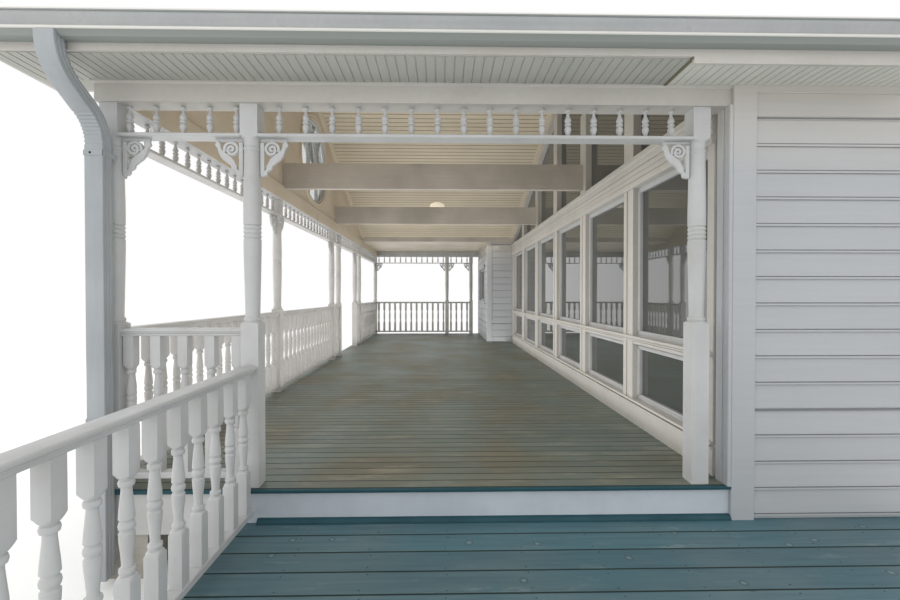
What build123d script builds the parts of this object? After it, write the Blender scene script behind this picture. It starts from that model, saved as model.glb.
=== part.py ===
# Front porch of a timber house: a raised deck under a gable roof whose ridge runs back to the
# house, turned posts with a spindle frieze and scroll brackets, railings, a lower side deck one
# step down, and the house wall of windows behind it.
# X runs towards the house, Y along the porch away from the step, Z up. The origin is on the
# ground at the foot of the pier under the corner post.

import os
from math import cos, pi, sin, sqrt

from build123d import *

os.makedirs("parts", exist_ok=True)

# Levels above the ground
lower_deck_top = 334.0
step_rise = 200.0
deck_top = lower_deck_top + step_rise

# Plan of the porch: post centres across the near end, and bays along it
post_square = 102.0
front_post_x = 806.0
wall_post_x = 3485.0
wall_face_x = 3650.0
bay = 2635.0
bay_count = 4
gable_bays = 3
open_bay = 3
gate_panel = 510.0
far_post_x = 2105.0
far_wall_post_x = 2810.0
wing_face_x = 3050.0
cut_x = 4750.0
porch_length = bay * bay_count

# Decks
floor_board = 25.0
joist_depth = 184.0
lower_joist_depth = 140.0
joist_width = 38.0
joist_pitch = 406.0
deck_edge = 90.0
floor_nosing = 25.0
skirt_board = 20.0
skirt_depth = 239.0
riser_moulding_size = 30.0
lower_deck_length = 2635.0
pier_square = 250.0
pier_joist = 5

# Posts, measured up from the deck
header_bottom = 2255.0
header_depth = 172.0
header_width = 136.0
header_soffit_show = 119.0
post_base_block = 970.0
post_top_block = 192.0
post_block_chamfer = 8.0

# Frieze and brackets
frieze_drop = 192.0
frieze_rail = 20.0
frieze_rail_width = 102.0
spindle_radius = 20.0
spindle_pitch = 157.0
spindle_margin = 35.0
bracket_width = 160.0
bracket_height = 222.0
bracket_thick = 22.0
bracket_bar = 20.0
bracket_scroll = 40.0
bracket_ring = 12.0

# Railings
rail_top = 940.0
lower_rail_top = 920.0
hand_rail_width = 90.0
hand_rail_height = 46.0
foot_rail_width = 64.0
foot_rail_height = 38.0
foot_rail_gap = 50.0
baluster_square = 57.0
baluster_pitch = 158.0
baluster_margin = 30.0
baluster_foot_block = 0.315
baluster_head_block = 0.757
newel_height = 1060.0
newel_cap = 130.0
newel_cap_height = 45.0

# Turned shapes from foot to head: share of the length, share of the full radius
post_sides = 8
fine_sides = 6
plain_sides = 4
oval_sides = 20
scroll_sides = 12
lamp_sides = 12
arch_sides = 24
post_turning = [
    (0.00, 0.80),
    (0.02, 0.93),
    (0.04, 0.80),
    (0.24, 0.97),
    (0.47, 1.00),
    (0.48, 0.88),
    (0.50, 1.00),
    (0.53, 0.90),
    (0.93, 0.70),
    (0.95, 0.78),
    (1.00, 0.76),
]
spindle_turning = [
    (0.00, 0.60),
    (0.24, 1.00),
    (0.50, 0.70),
    (0.58, 0.96),
    (0.82, 0.48),
    (1.00, 0.85),
]
plain_spindle_turning = [
    (0.00, 0.60),
    (0.25, 1.00),
    (0.60, 0.90),
    (1.00, 0.60),
]
baluster_turning = [
    (0.00, 0.85),
    (0.06, 0.85),
    (0.08, 0.62),
    (0.42, 0.90),
    (0.56, 0.95),
    (0.88, 0.60),
    (0.92, 0.84),
    (1.00, 0.84),
]
lower_baluster_turning = [
    (0.00, 1.00),
    (0.31, 1.00),
    (0.36, 0.62),
    (0.54, 0.97),
    (0.72, 0.62),
    (0.76, 1.00),
    (1.00, 1.00),
]
plain_baluster_turning = [
    (0.00, 1.00),
    (0.32, 1.00),
    (0.54, 0.72),
    (0.76, 1.00),
    (1.00, 1.00),
]
newel_cap_turning = [(0.0, 1.0), (0.2, 1.0), (1.0, 0.5)]
lamp_turning = [(0.0, 1.0), (0.22, 1.0), (0.24, 0.9), (0.65, 0.7), (1.0, 0.25)]

# Hand rail from below up: share of half its width, share of its height
hand_rail_shape = [(0.6, 0.0), (1.0, 0.35), (1.0, 0.7), (0.6, 1.0)]

# Scroll-sawn arm of a bracket, and the plain brackets' edge: shares of the width and the height
bracket_arm_shape = [
    (0.76, 0.08),
    (0.92, 0.08),
    (0.96, 0.16),
    (0.88, 0.24),
    (0.88, 0.34),
    (0.76, 0.46),
    (0.59, 0.57),
    (0.42, 0.68),
    (0.33, 0.77),
    (0.26, 0.85),
    (0.27, 0.92),
    (0.20, 0.98),
    (0.10, 0.98),
    (0.10, 0.74),
    (0.28, 0.585),
    (0.44, 0.52),
    (0.60, 0.40),
    (0.66, 0.25),
]
plain_bracket_shape = [
    (0.00, 0.00),
    (1.00, 0.00),
    (0.96, 0.16),
    (0.76, 0.46),
    (0.42, 0.68),
    (0.26, 0.85),
    (0.20, 0.98),
    (0.00, 1.00),
]

# Roof
pitch = 0.375
ridge_y = 4050.0
roof_plumb = 167.0
ceiling_board = 17.0
eave_overhang = 300.0
rake_overhang = 312.0
soffit_board = 12.0
fascia_board = 20.0
fascia_step = 35.0
fascia_step_x = 3245.0

# Tie beams and gable window
tie_bottom = 2400.0
tie_depth = 300.0
tie_thick = 76.0
tie_offset = 40.0
gable_wall_thick = 102.0
oval_width = 1320.0
oval_height = 1210.0
oval_casing = 65.0
oval_casing_stand = 18.0
oval_frame = 45.0
oval_centre = 3110.0
tracery_bar = 30.0
tracery_spring = 0.18
glass_thick = 24.0
tracery_depth = 21.0

# House walls
wall_thick = 140.0
mullion_width = 200.0
mullion_shift = 38.0
windows_per_bay = 2
lower_light = (215.0, 705.0)
upper_light = (775.0, 2080.0)
clerestory_sill = 2330.0
wing_light = (990.0, 1830.0)
wing_light_y = (8800.0, 10200.0)
rake_trim = 120.0
sash_width = 45.0
sash_depth = 70.0
sash_setback = 30.0
ledge_band = 25.0
ledge_shelf = 55.0
ledge_shelf_thick = 30.0
corner_board_width = 140.0
corner_board_thick = 22.0
room_floor_thick = 200.0

# Gutter and downspout
gutter_height = 110.0
gutter_base = 80.0
gutter_top_width = 127.0
gutter_sheet = 3.0
gutter_front = [(0.0, 0.0), (0.09, 0.09), (0.17, 0.41), (0.75, 0.65), (0.91, 0.82), (1.0, 1.0)]
gutter_lip = 12.0
gutter_rise = 12.0
gutter_opening = 12.0
pipe_width = 102.0
pipe_depth = 76.0
pipe_sheet = 2.0
pipe_bend = 100.0
pipe_drop = 100.0
pipe_lower_bend = 314.0
pipe_clearance = 1.0
pipe_ground_gap = 60.0
strap_height = 30.0
strap_width = 60.0
strap_level = 1927.0

# Ceiling light
lamp_radius = 150.0
lamp_depth = 90.0

# Sizes that follow from the ones above
half_header = header_width / 2
header_top = header_bottom + header_depth
soffit_level = header_bottom + header_soffit_show
riser_face = deck_edge - floor_nosing
frame_edge = riser_face - skirt_board
tie_near_y = bay * gable_bays + tie_offset
wing_y = tie_near_y + tie_thick
ceiling_plumb = ceiling_board * sqrt(1 + pitch**2)
ridge_line = header_top + pitch * (ridge_y + half_header)
eave_y = -half_header - eave_overhang
far_eave_y = porch_length + half_header + eave_overhang
rake_x = -half_header - rake_overhang
far_header_y = porch_length - half_header
corner = (Align.MIN, Align.MIN, Align.MIN)


def level(height):
    """Height above the ground of a height above the deck."""
    return deck_top + height


def ceiling_line(y):
    """Underside of the vaulted ceiling above the deck, at a place along the porch."""
    return ridge_line - pitch * abs(y - ridge_y)


def block(x, y, z):
    """A plain board or beam between two corners, heights above the ground."""
    with Locations((x[0], y[0], z[0])):
        Box(x[1] - x[0], y[1] - y[0], z[1] - z[0], align=corner)


def turned(shape, length, radius, sides):
    """A turned length standing on the origin, its outline cut from each pair of flat sides."""
    right = [(radius * width, length * height) for height, width in shape]
    left = [(-across, up) for across, up in reversed(right)]
    with BuildPart() as piece:
        for i in range(sides // 2):
            turn = 2 * pi * i / sides
            facing = Plane((0, 0, 0), x_dir=(cos(turn), sin(turn), 0), z_dir=(sin(turn), -cos(turn), 0))
            with BuildSketch(facing.offset(-2 * radius)):
                with BuildLine():
                    Polyline(*right, *left, close=True)
                make_face()
            extrude(amount=4 * radius, mode=Mode.INTERSECT if i else Mode.ADD)
    return piece.part


def oval_face(half_width, half_height):
    """An oval drawn with straight edges, centred on the origin."""
    turns = [2 * pi * i / oval_sides for i in range(oval_sides)]
    with BuildSketch() as face:
        with BuildLine():
            Polyline(
                *[(half_width * cos(turn), half_height * sin(turn)) for turn in turns],
                close=True,
            )
        make_face()
    return face.sketch


def spread(span, spacing, margin):
    """Places of evenly spaced pieces along a clear span, centred, with a margin at each end."""
    count = max(1, int((span - 2 * margin) / spacing) + 1)
    return [span / 2 + spacing * (i - (count - 1) / 2) for i in range(count)]


# Turned post between deck and header: square base and top blocks with a turned shaft between
half_post = post_square / 2
shaft_length = header_bottom - post_base_block - post_top_block
with BuildPart() as post_body:
    with BuildSketch():
        Rectangle(post_square, post_square)
    extrude(amount=post_base_block)
    chamfer(post_body.faces().sort_by(Axis.Z)[-1].edges(), post_block_chamfer)
    with Locations((0, 0, post_base_block)):
        add(turned(post_turning, shaft_length, half_post, post_sides))
    with BuildSketch(Plane.XY.offset(header_bottom - post_top_block)):
        Rectangle(post_square, post_square)
    extrude(amount=post_top_block)

with BuildPart() as corner_post:
    with Locations((0, 0, deck_top)):
        add(post_body.part)
corner_post.part.label = "corner_post"
export_step(corner_post.part, "parts/corner_post.step")

with BuildPart() as front_post:
    with Locations((front_post_x, 0, deck_top)):
        add(post_body.part)
front_post.part.label = "front_post"
export_step(front_post.part, "parts/front_post.step")

with BuildPart() as wall_post:
    with Locations((wall_post_x, 0, deck_top)):
        add(post_body.part)
wall_post.part.label = "wall_post"
export_step(wall_post.part, "parts/wall_post.step")

# Posts down the open side: one a bay, and one each side of the way through the open bay
gate_near = bay * (open_bay - 1) + gate_panel
gate_far = bay * open_bay - gate_panel
side_post_rows = sorted([*[bay * i for i in range(1, bay_count)], gate_near, gate_far])
with BuildPart() as side_posts:
    with Locations(*[(0, y, deck_top) for y in side_post_rows]):
        add(post_body.part)
side_posts.part.label = "side_posts"
export_step(side_posts.part, "parts/side_posts.step")

with BuildPart() as far_posts:
    with Locations(*[(x, porch_length, deck_top) for x in (0, far_post_x, far_wall_post_x)]):
        add(post_body.part)
far_posts.part.label = "far_posts"
export_step(far_posts.part, "parts/far_posts.step")

# Joists of the two decks, evenly spaced between their outer rims
lower_deck_x = front_post_x - deck_edge
lower_deck_near = -lower_deck_length - deck_edge
upper_frame_x = (-frame_edge, wall_face_x)
upper_frame_y = (-frame_edge, porch_length + frame_edge)
lower_frame_x = (lower_deck_x + floor_nosing, cut_x)
lower_frame_y = (lower_deck_near + floor_nosing, -half_header)


def joists(frame_x):
    """Left faces of the joists between the two sides of a deck frame."""
    clear = frame_x[1] - frame_x[0] - joist_width
    count = int(clear / joist_pitch) + 1
    return [frame_x[0] + clear * i / count for i in range(count + 1)]


upper_joists = joists(upper_frame_x)
lower_joists = joists(lower_frame_x)

# Piers under the two decks, in rows that each carry a joist
upper_pier_top = deck_top - floor_board - joist_depth
lower_pier_top = lower_deck_top - floor_board - lower_joist_depth
pier_inset = (pier_square - joist_width) / 2
with BuildPart() as piers:
    for pier_x in (upper_frame_x[0], upper_joists[pier_joist] - pier_inset):
        for i in range(bay_count + 1):
            row = upper_frame_y[1] - upper_frame_y[0] - pier_square
            near = upper_frame_y[0] + row * i / bay_count
            block((pier_x, pier_x + pier_square), (near, near + pier_square), (0, upper_pier_top))
    for pier_x in (
        lower_frame_x[0],
        lower_joists[pier_joist] - pier_inset,
        lower_frame_x[1] - pier_square,
    ):
        for near in (lower_frame_y[0], lower_frame_y[1] - 2 * pier_square):
            block((pier_x, pier_x + pier_square), (near, near + pier_square), (0, lower_pier_top))
piers.part.label = "piers"
export_step(piers.part, "parts/piers.step")

# Upper deck: joists and rims as one frame, floor, skirt boards and the step
frame_bottom = deck_top - floor_board - joist_depth
frame_top = deck_top - floor_board
frame_far = porch_length + frame_edge


def deck_outline(edge_x, near, far):
    """Corners of the upper deck, which narrows beside the house's wing."""
    return [
        (-edge_x, near),
        (wall_face_x, near),
        (wall_face_x, wing_y),
        (wing_face_x, wing_y),
        (wing_face_x, far),
        (-edge_x, far),
    ]


with BuildPart() as upper_deck_frame:
    with BuildSketch(Plane.XY.offset(frame_bottom)):
        with BuildLine():
            Polyline(*deck_outline(frame_edge, -frame_edge, frame_far), close=True)
        make_face()
    extrude(amount=joist_depth)
    for start, end in zip(upper_joists, upper_joists[1:]):
        far = frame_far if end + joist_width < wing_face_x else wing_y
        with BuildSketch(Plane.XY.offset(frame_bottom)):
            with Locations(((start + joist_width + end) / 2, (far - frame_edge) / 2)):
                Rectangle(end - start - joist_width, far + frame_edge - 2 * joist_width)
        extrude(amount=joist_depth, mode=Mode.SUBTRACT)
upper_deck_frame.part.label = "upper_deck_frame"
export_step(upper_deck_frame.part, "parts/upper_deck_frame.step")

with BuildPart() as upper_deck_floor:
    with BuildSketch(Plane.XY.offset(frame_top)):
        with BuildLine():
            Polyline(*deck_outline(deck_edge, -deck_edge, porch_length + deck_edge), close=True)
        make_face()
    extrude(amount=floor_board)
upper_deck_floor.part.label = "upper_deck_floor"
export_step(upper_deck_floor.part, "parts/upper_deck_floor.step")

skirt_z = (frame_top - skirt_depth, frame_top)
with BuildPart() as deck_skirt:
    block((-riser_face, lower_deck_x), (-riser_face, -frame_edge), skirt_z)
    block((-riser_face, -frame_edge), (-riser_face, porch_length + riser_face), skirt_z)
    block((-riser_face, wing_face_x), (frame_far, porch_length + riser_face), skirt_z)
deck_skirt.part.label = "deck_skirt"
export_step(deck_skirt.part, "parts/deck_skirt.step")

with BuildPart() as step_riser:
    block((lower_deck_x, wall_face_x), (-riser_face, -frame_edge), (lower_deck_top, frame_top))
step_riser.part.label = "step_riser"
export_step(step_riser.part, "parts/step_riser.step")

with BuildPart() as riser_moulding:
    with BuildSketch(Plane.YZ.offset(front_post_x + half_post)):
        with BuildLine():
            Line((-riser_face, lower_deck_top), (-riser_face - riser_moulding_size, lower_deck_top))
            RadiusArc(
                (-riser_face - riser_moulding_size, lower_deck_top),
                (-riser_face, lower_deck_top + riser_moulding_size),
                riser_moulding_size,
            )
            Line((-riser_face, lower_deck_top + riser_moulding_size), (-riser_face, lower_deck_top))
        make_face()
    extrude(amount=wall_face_x - front_post_x - half_post)
riser_moulding.part.label = "riser_moulding"
export_step(riser_moulding.part, "parts/riser_moulding.step")

# Lower deck, one step down in front of the porch's near end
with BuildPart() as lower_deck_floor:
    with BuildSketch(Plane.XY.offset(lower_deck_top - floor_board)):
        with BuildLine():
            Polyline(
                (lower_deck_x, lower_deck_near),
                (cut_x, lower_deck_near),
                (cut_x, -half_header),
                (wall_face_x, -half_header),
                (wall_face_x, -frame_edge),
                (lower_deck_x, -frame_edge),
                close=True,
            )
        make_face()
    extrude(amount=floor_board)
lower_deck_floor.part.label = "lower_deck_floor"
export_step(lower_deck_floor.part, "parts/lower_deck_floor.step")

with BuildPart() as lower_deck_frame:
    block(lower_frame_x, lower_frame_y, (lower_pier_top, lower_pier_top + lower_joist_depth))
    for start, end in zip(lower_joists, lower_joists[1:]):
        with BuildSketch(Plane.XY.offset(lower_pier_top)):
            with Locations(((start + joist_width + end) / 2, sum(lower_frame_y) / 2)):
                Rectangle(
                    end - start - joist_width,
                    lower_frame_y[1] - lower_frame_y[0] - 2 * joist_width,
                )
        extrude(amount=lower_joist_depth, mode=Mode.SUBTRACT)
lower_deck_frame.part.label = "lower_deck_frame"
export_step(lower_deck_frame.part, "parts/lower_deck_frame.step")

# Header beams on the posts
header_z = (level(header_bottom), level(header_top))
with BuildPart() as near_header:
    block((-half_header, wall_face_x), (-half_header, half_header), header_z)
near_header.part.label = "near_header"
export_step(near_header.part, "parts/near_header.step")

with BuildPart() as side_header:
    block((-half_header, half_header), (half_header, far_header_y), header_z)
side_header.part.label = "side_header"
export_step(side_header.part, "parts/side_header.step")

with BuildPart() as far_header:
    block((-half_header, wing_face_x), (far_header_y, porch_length + half_header), header_z)
far_header.part.label = "far_header"
export_step(far_header.part, "parts/far_header.step")

# Spindle friezes: a flat rail hung on turned spindles between the posts
spindle_length = frieze_drop - frieze_rail


def frieze(span, shape, sides):
    """A run of frieze along +X from the origin, its top level with the header's underside."""
    with BuildPart() as run:
        with Locations((0, 0, -frieze_drop)):
            Box(span, frieze_rail_width, frieze_rail, align=(Align.MIN, Align.CENTER, Align.MIN))
        with Locations(*[(x, 0, -spindle_length) for x in spread(span, spindle_pitch, spindle_margin)]):
            add(turned(shape, spindle_length, spindle_radius, sides))
    return run.part


# Near faces of the side posts' rows, and the clear spans between posts
side_rows = [0, *side_post_rows, porch_length]
side_runs = [
    (near + half_post, far - near - post_square) for near, far in zip(side_rows, side_rows[1:])
]
gate_run = (gate_near + half_post, gate_far - gate_near - post_square)
near_runs = [
    (half_post, front_post_x - post_square),
    (front_post_x + half_post, wall_post_x - front_post_x - post_square),
]
far_runs = [
    (half_post, far_post_x - post_square),
    (far_post_x + half_post, far_wall_post_x - far_post_x - post_square),
]

frieze_level = level(header_bottom)
with BuildPart() as near_frieze:
    for start, span in near_runs:
        with Locations((start, 0, frieze_level)):
            add(frieze(span, spindle_turning, fine_sides))
near_frieze.part.label = "near_frieze"
export_step(near_frieze.part, "parts/near_frieze.step")

with BuildPart() as side_frieze:
    for start, span in side_runs:
        with Locations(Location((0, start, frieze_level), (0, 0, 90))):
            add(frieze(span, plain_spindle_turning, plain_sides))
side_frieze.part.label = "side_frieze"
export_step(side_frieze.part, "parts/side_frieze.step")

with BuildPart() as far_frieze:
    for start, span in far_runs:
        with Locations((start, porch_length, frieze_level)):
            add(frieze(span, plain_spindle_turning, plain_sides))
far_frieze.part.label = "far_frieze"
export_step(far_frieze.part, "parts/far_frieze.step")

# Scroll-sawn bracket in the corner between a post and the frieze rail
scroll_reach = bracket_bar + bracket_scroll - bracket_ring / 4
scroll_place = (scroll_reach, -scroll_reach)
with BuildPart() as bracket_body:
    with BuildSketch(Plane.XZ.offset(-bracket_thick / 2)):
        with Locations((bracket_width / 2, -bracket_bar / 2)):
            Rectangle(bracket_width, bracket_bar)
        with Locations((bracket_bar / 2, -bracket_height / 2)):
            Rectangle(bracket_bar, bracket_height)
        with BuildLine():
            Polyline(
                *[(bracket_width * x, -bracket_height * down) for x, down in bracket_arm_shape],
                close=True,
            )
        make_face()
        with Locations(scroll_place):
            RegularPolygon(bracket_scroll, scroll_sides)
            RegularPolygon(bracket_scroll - bracket_ring, scroll_sides, mode=Mode.SUBTRACT)
        with Locations((scroll_place[0], scroll_place[1] + bracket_ring)):
            RegularPolygon(bracket_ring, scroll_sides // 2)
            Rectangle(bracket_ring, bracket_scroll, align=(Align.CENTER, Align.MIN))
    extrude(amount=bracket_thick)

with BuildPart() as plain_bracket_body:
    with BuildSketch(Plane.XZ.offset(-bracket_thick / 2)):
        with BuildLine():
            Polyline(
                *[(bracket_width * x, -bracket_height * down) for x, down in plain_bracket_shape],
                close=True,
            )
        make_face()
        with Locations(scroll_place):
            RegularPolygon(bracket_scroll - bracket_ring, scroll_sides // 2, mode=Mode.SUBTRACT)
    extrude(amount=bracket_thick)

bracket_level = level(header_bottom - frieze_drop)
turn_back = (0, 0, 180)
with BuildPart() as near_brackets:
    with Locations(
        Location((half_post, 0, bracket_level)),
        Location((front_post_x + half_post, 0, bracket_level)),
        Location((front_post_x - half_post, 0, bracket_level), turn_back),
        Location((wall_post_x - half_post, 0, bracket_level), turn_back),
    ):
        add(bracket_body.part)
near_brackets.part.label = "near_brackets"
export_step(near_brackets.part, "parts/near_brackets.step")

with BuildPart() as side_brackets:
    for start, span in side_runs:
        if span > gate_panel:
            with Locations(
                Location((0, start, bracket_level), (0, 0, 90)),
                Location((0, start + span, bracket_level), (0, 0, -90)),
            ):
                add(plain_bracket_body.part)
side_brackets.part.label = "side_brackets"
export_step(side_brackets.part, "parts/side_brackets.step")

with BuildPart() as far_brackets:
    with Locations(
        Location((half_post, porch_length, bracket_level)),
        Location((far_post_x + half_post, porch_length, bracket_level)),
        Location((far_post_x - half_post, porch_length, bracket_level), turn_back),
        Location((far_wall_post_x - half_post, porch_length, bracket_level), turn_back),
    ):
        add(plain_bracket_body.part)
far_brackets.part.label = "far_brackets"
export_step(far_brackets.part, "parts/far_brackets.step")

# Railings: moulded hand rail, turned balusters with square ends, foot rail
half_square = baluster_square / 2


def baluster_length(top):
    """Length of the balusters between the foot rail and a hand rail with its top at that height."""
    return top - hand_rail_height - foot_rail_height - foot_rail_gap


def plain_baluster(top, shape):
    """A baluster cut from one outline with four flat sides, standing on the origin."""
    return turned(shape, baluster_length(top), half_square, plain_sides)


def fine_baluster(top):
    """A baluster standing on the origin, square at both ends and turned round between."""
    length = baluster_length(top)
    foot = baluster_foot_block * length
    head = baluster_head_block * length
    with BuildPart() as piece:
        with BuildSketch():
            Rectangle(baluster_square, baluster_square)
        extrude(amount=foot)
        with Locations((0, 0, foot)):
            add(turned(baluster_turning, head - foot, half_square, fine_sides))
        with BuildSketch(Plane.XY.offset(head)):
            Rectangle(baluster_square, baluster_square)
        extrude(amount=length - head)
    return piece.part


def railing(span, top, baluster, reach=0.0):
    """A run of railing along +X, its hand rail reaching back to the post by a further length."""
    foot_top = foot_rail_gap + foot_rail_height
    hand_bottom = top - hand_rail_height
    right = [
        (hand_rail_width / 2 * across, hand_bottom + hand_rail_height * up)
        for across, up in hand_rail_shape
    ]
    left = [(-across, up) for across, up in reversed(right)]
    with BuildPart() as run:
        with Locations((0, 0, foot_rail_gap)):
            Box(
                span,
                foot_rail_width,
                foot_rail_height,
                align=(Align.MIN, Align.CENTER, Align.MIN),
            )
        with BuildSketch(Plane.YZ.offset(-reach)):
            with BuildLine():
                Polyline(*right, *left, close=True)
            make_face()
        extrude(amount=span + reach)
        with Locations(*[(x, 0, foot_top) for x in spread(span, baluster_pitch, baluster_margin)]):
            add(baluster)
    return run.part


with BuildPart() as near_railing:
    with Locations((near_runs[0][0], 0, deck_top)):
        add(railing(near_runs[0][1], rail_top, fine_baluster(rail_top)))
near_railing.part.label = "near_railing"
export_step(near_railing.part, "parts/near_railing.step")

plain_piece = plain_baluster(rail_top, plain_baluster_turning)
with BuildPart() as side_railing:
    for start, span in side_runs:
        if (start, span) != gate_run:
            with Locations(Location((0, start, deck_top), (0, 0, 90))):
                add(railing(span, rail_top, plain_piece))
side_railing.part.label = "side_railing"
export_step(side_railing.part, "parts/side_railing.step")

with BuildPart() as far_railing:
    for start, span in far_runs:
        with Locations((start, porch_length, deck_top)):
            add(railing(span, rail_top, plain_piece))
far_railing.part.label = "far_railing"
export_step(far_railing.part, "parts/far_railing.step")

lower_span = lower_deck_length - half_post - riser_face
lower_piece = plain_baluster(lower_rail_top, lower_baluster_turning)
with BuildPart() as lower_railing:
    with Locations(Location((front_post_x, -riser_face, lower_deck_top), (0, 0, -90))):
        add(railing(lower_span, lower_rail_top, lower_piece, reach=riser_face - half_post))
lower_railing.part.label = "lower_railing"
export_step(lower_railing.part, "parts/lower_railing.step")

with BuildPart() as lower_newel:
    with BuildSketch(Plane.XY.offset(lower_deck_top)):
        with Locations((front_post_x, -lower_deck_length)):
            Rectangle(post_square, post_square)
    extrude(amount=newel_height)
    with Locations((front_post_x, -lower_deck_length, lower_deck_top + newel_height)):
        add(turned(newel_cap_turning, newel_cap_height, newel_cap / 2, plain_sides))
lower_newel.part.label = "lower_newel"
export_step(lower_newel.part, "parts/lower_newel.step")

# Tie beams across the vault; the last one closes its far end
gable_face = gable_wall_thick / 2
with BuildPart() as tie_beams:
    for i in range(1, gable_bays):
        near = bay * i + tie_offset
        block(
            (gable_face, wall_face_x),
            (near, near + tie_thick),
            (level(tie_bottom), level(tie_bottom + tie_depth)),
        )
    with BuildSketch(Plane.YZ.offset(gable_face)):
        with BuildLine():
            Polyline(
                (tie_near_y, level(tie_bottom)),
                (wing_y, level(tie_bottom)),
                (wing_y, level(ceiling_line(wing_y) + ceiling_plumb)),
                (tie_near_y, level(ceiling_line(tie_near_y) + ceiling_plumb)),
                close=True,
            )
        make_face()
    extrude(amount=wall_face_x - gable_face)
    with Locations((gable_face, 0, level(header_top))):
        Box(
            half_header - gable_face,
            porch_length,
            header_depth,
            align=(Align.MIN, Align.MIN, Align.MAX),
            mode=Mode.SUBTRACT,
        )
tie_beams.part.label = "tie_beams"
export_step(tie_beams.part, "parts/tie_beams.step")

# Gable wall over the side header, with the oval window in it
with BuildPart() as gable_wall:
    with BuildSketch(Plane.YZ.offset(-gable_face)):
        with BuildLine():
            Polyline(
                (half_header, level(header_top)),
                (wing_y, level(header_top)),
                (wing_y, level(ceiling_line(wing_y) + ceiling_plumb)),
                (ridge_y, level(ridge_line + ceiling_plumb)),
                (half_header, level(ceiling_line(half_header) + ceiling_plumb)),
                close=True,
            )
        make_face()
        with Locations((ridge_y, level(oval_centre))):
            add(oval_face(oval_width / 2, oval_height / 2), mode=Mode.SUBTRACT)
    extrude(amount=gable_wall_thick)
gable_wall.part.label = "gable_wall"
export_step(gable_wall.part, "parts/gable_wall.step")

oval_place = (ridge_y, level(oval_centre))
light_half_width = oval_width / 2 - oval_frame
light_half_height = oval_height / 2 - oval_frame
mullion_place = light_half_width / 3
arch_radius = light_half_width * 4 / 3
arch_spring = -tracery_spring * light_half_height


def arch_bar(centre_y):
    """One curved bar of the tracery, from the spring line up."""
    with BuildSketch() as bar:
        with Locations((centre_y, arch_spring)):
            RegularPolygon(arch_radius + tracery_bar / 2, arch_sides)
            RegularPolygon(arch_radius - tracery_bar / 2, arch_sides, mode=Mode.SUBTRACT)
        with Locations((0, arch_spring)):
            Rectangle(
                2 * light_half_width,
                2 * light_half_height,
                align=(Align.CENTER, Align.MIN),
                mode=Mode.INTERSECT,
            )
    return bar.sketch


with BuildSketch() as tracery:
    for side in (-1, 1):
        with Locations((side * mullion_place, arch_spring)):
            Rectangle(tracery_bar, light_half_height, align=(Align.CENTER, Align.MAX))
        for turn in (-1, 1):
            add(arch_bar(side * mullion_place + turn * arch_radius))
    add(oval_face(oval_width / 2, oval_height / 2), mode=Mode.INTERSECT)

casing_x = gable_face + oval_casing_stand
with BuildPart() as oval_window:
    with BuildSketch(Plane.YZ.offset(-casing_x)):
        with Locations(oval_place):
            add(oval_face(oval_width / 2 + oval_casing, oval_height / 2 + oval_casing))
            add(oval_face(light_half_width, light_half_height), mode=Mode.SUBTRACT)
    extrude(amount=2 * casing_x)
    with BuildSketch(Plane.YZ.offset(-gable_face)):
        with Locations(oval_place):
            add(oval_face(oval_width / 2 + 2 * oval_casing, oval_height / 2 + 2 * oval_casing))
            add(oval_face(oval_width / 2, oval_height / 2), mode=Mode.SUBTRACT)
    extrude(amount=gable_wall_thick, mode=Mode.SUBTRACT)
    for start in (glass_thick / 2, -glass_thick / 2 - tracery_depth):
        with BuildSketch(Plane.YZ.offset(start)):
            with Locations(oval_place):
                add(tracery.sketch)
        extrude(amount=tracery_depth)
oval_window.part.label = "oval_window"
export_step(oval_window.part, "parts/oval_window.step")

with BuildPart() as oval_glass:
    with BuildSketch(Plane.YZ.offset(-glass_thick / 2)):
        with Locations(oval_place):
            add(oval_face(light_half_width, light_half_height))
    extrude(amount=glass_thick)
oval_glass.part.label = "oval_glass"
export_step(oval_glass.part, "parts/oval_glass.step")

# Boarded ceilings: two slopes over the gable bays and a flat one over the last bay
with BuildPart() as near_ceiling:
    with BuildSketch(Plane.YZ.offset(gable_face)):
        with BuildLine():
            Polyline(
                (half_header, level(ceiling_line(half_header))),
                (ridge_y, level(ridge_line)),
                (ridge_y, level(ridge_line + ceiling_plumb)),
                (half_header, level(ceiling_line(half_header) + ceiling_plumb)),
                close=True,
            )
        make_face()
    extrude(amount=wall_face_x - gable_face)
near_ceiling.part.label = "near_ceiling"
export_step(near_ceiling.part, "parts/near_ceiling.step")

with BuildPart() as far_ceiling:
    with BuildSketch(Plane.YZ.offset(gable_face)):
        with BuildLine():
            Polyline(
                (tie_near_y, level(ceiling_line(tie_near_y))),
                (ridge_y, level(ridge_line)),
                (ridge_y, level(ridge_line + ceiling_plumb)),
                (tie_near_y, level(ceiling_line(tie_near_y) + ceiling_plumb)),
                close=True,
            )
        make_face()
    extrude(amount=wall_face_x - gable_face)
far_ceiling.part.label = "far_ceiling"
export_step(far_ceiling.part, "parts/far_ceiling.step")

flat_ceiling_z = (level(header_top - ceiling_board), level(header_top))
with BuildPart() as flat_ceiling:
    block((half_header, wing_face_x), (wing_y, far_header_y), flat_ceiling_z)
flat_ceiling.part.label = "flat_ceiling"
export_step(flat_ceiling.part, "parts/flat_ceiling.step")

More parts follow.
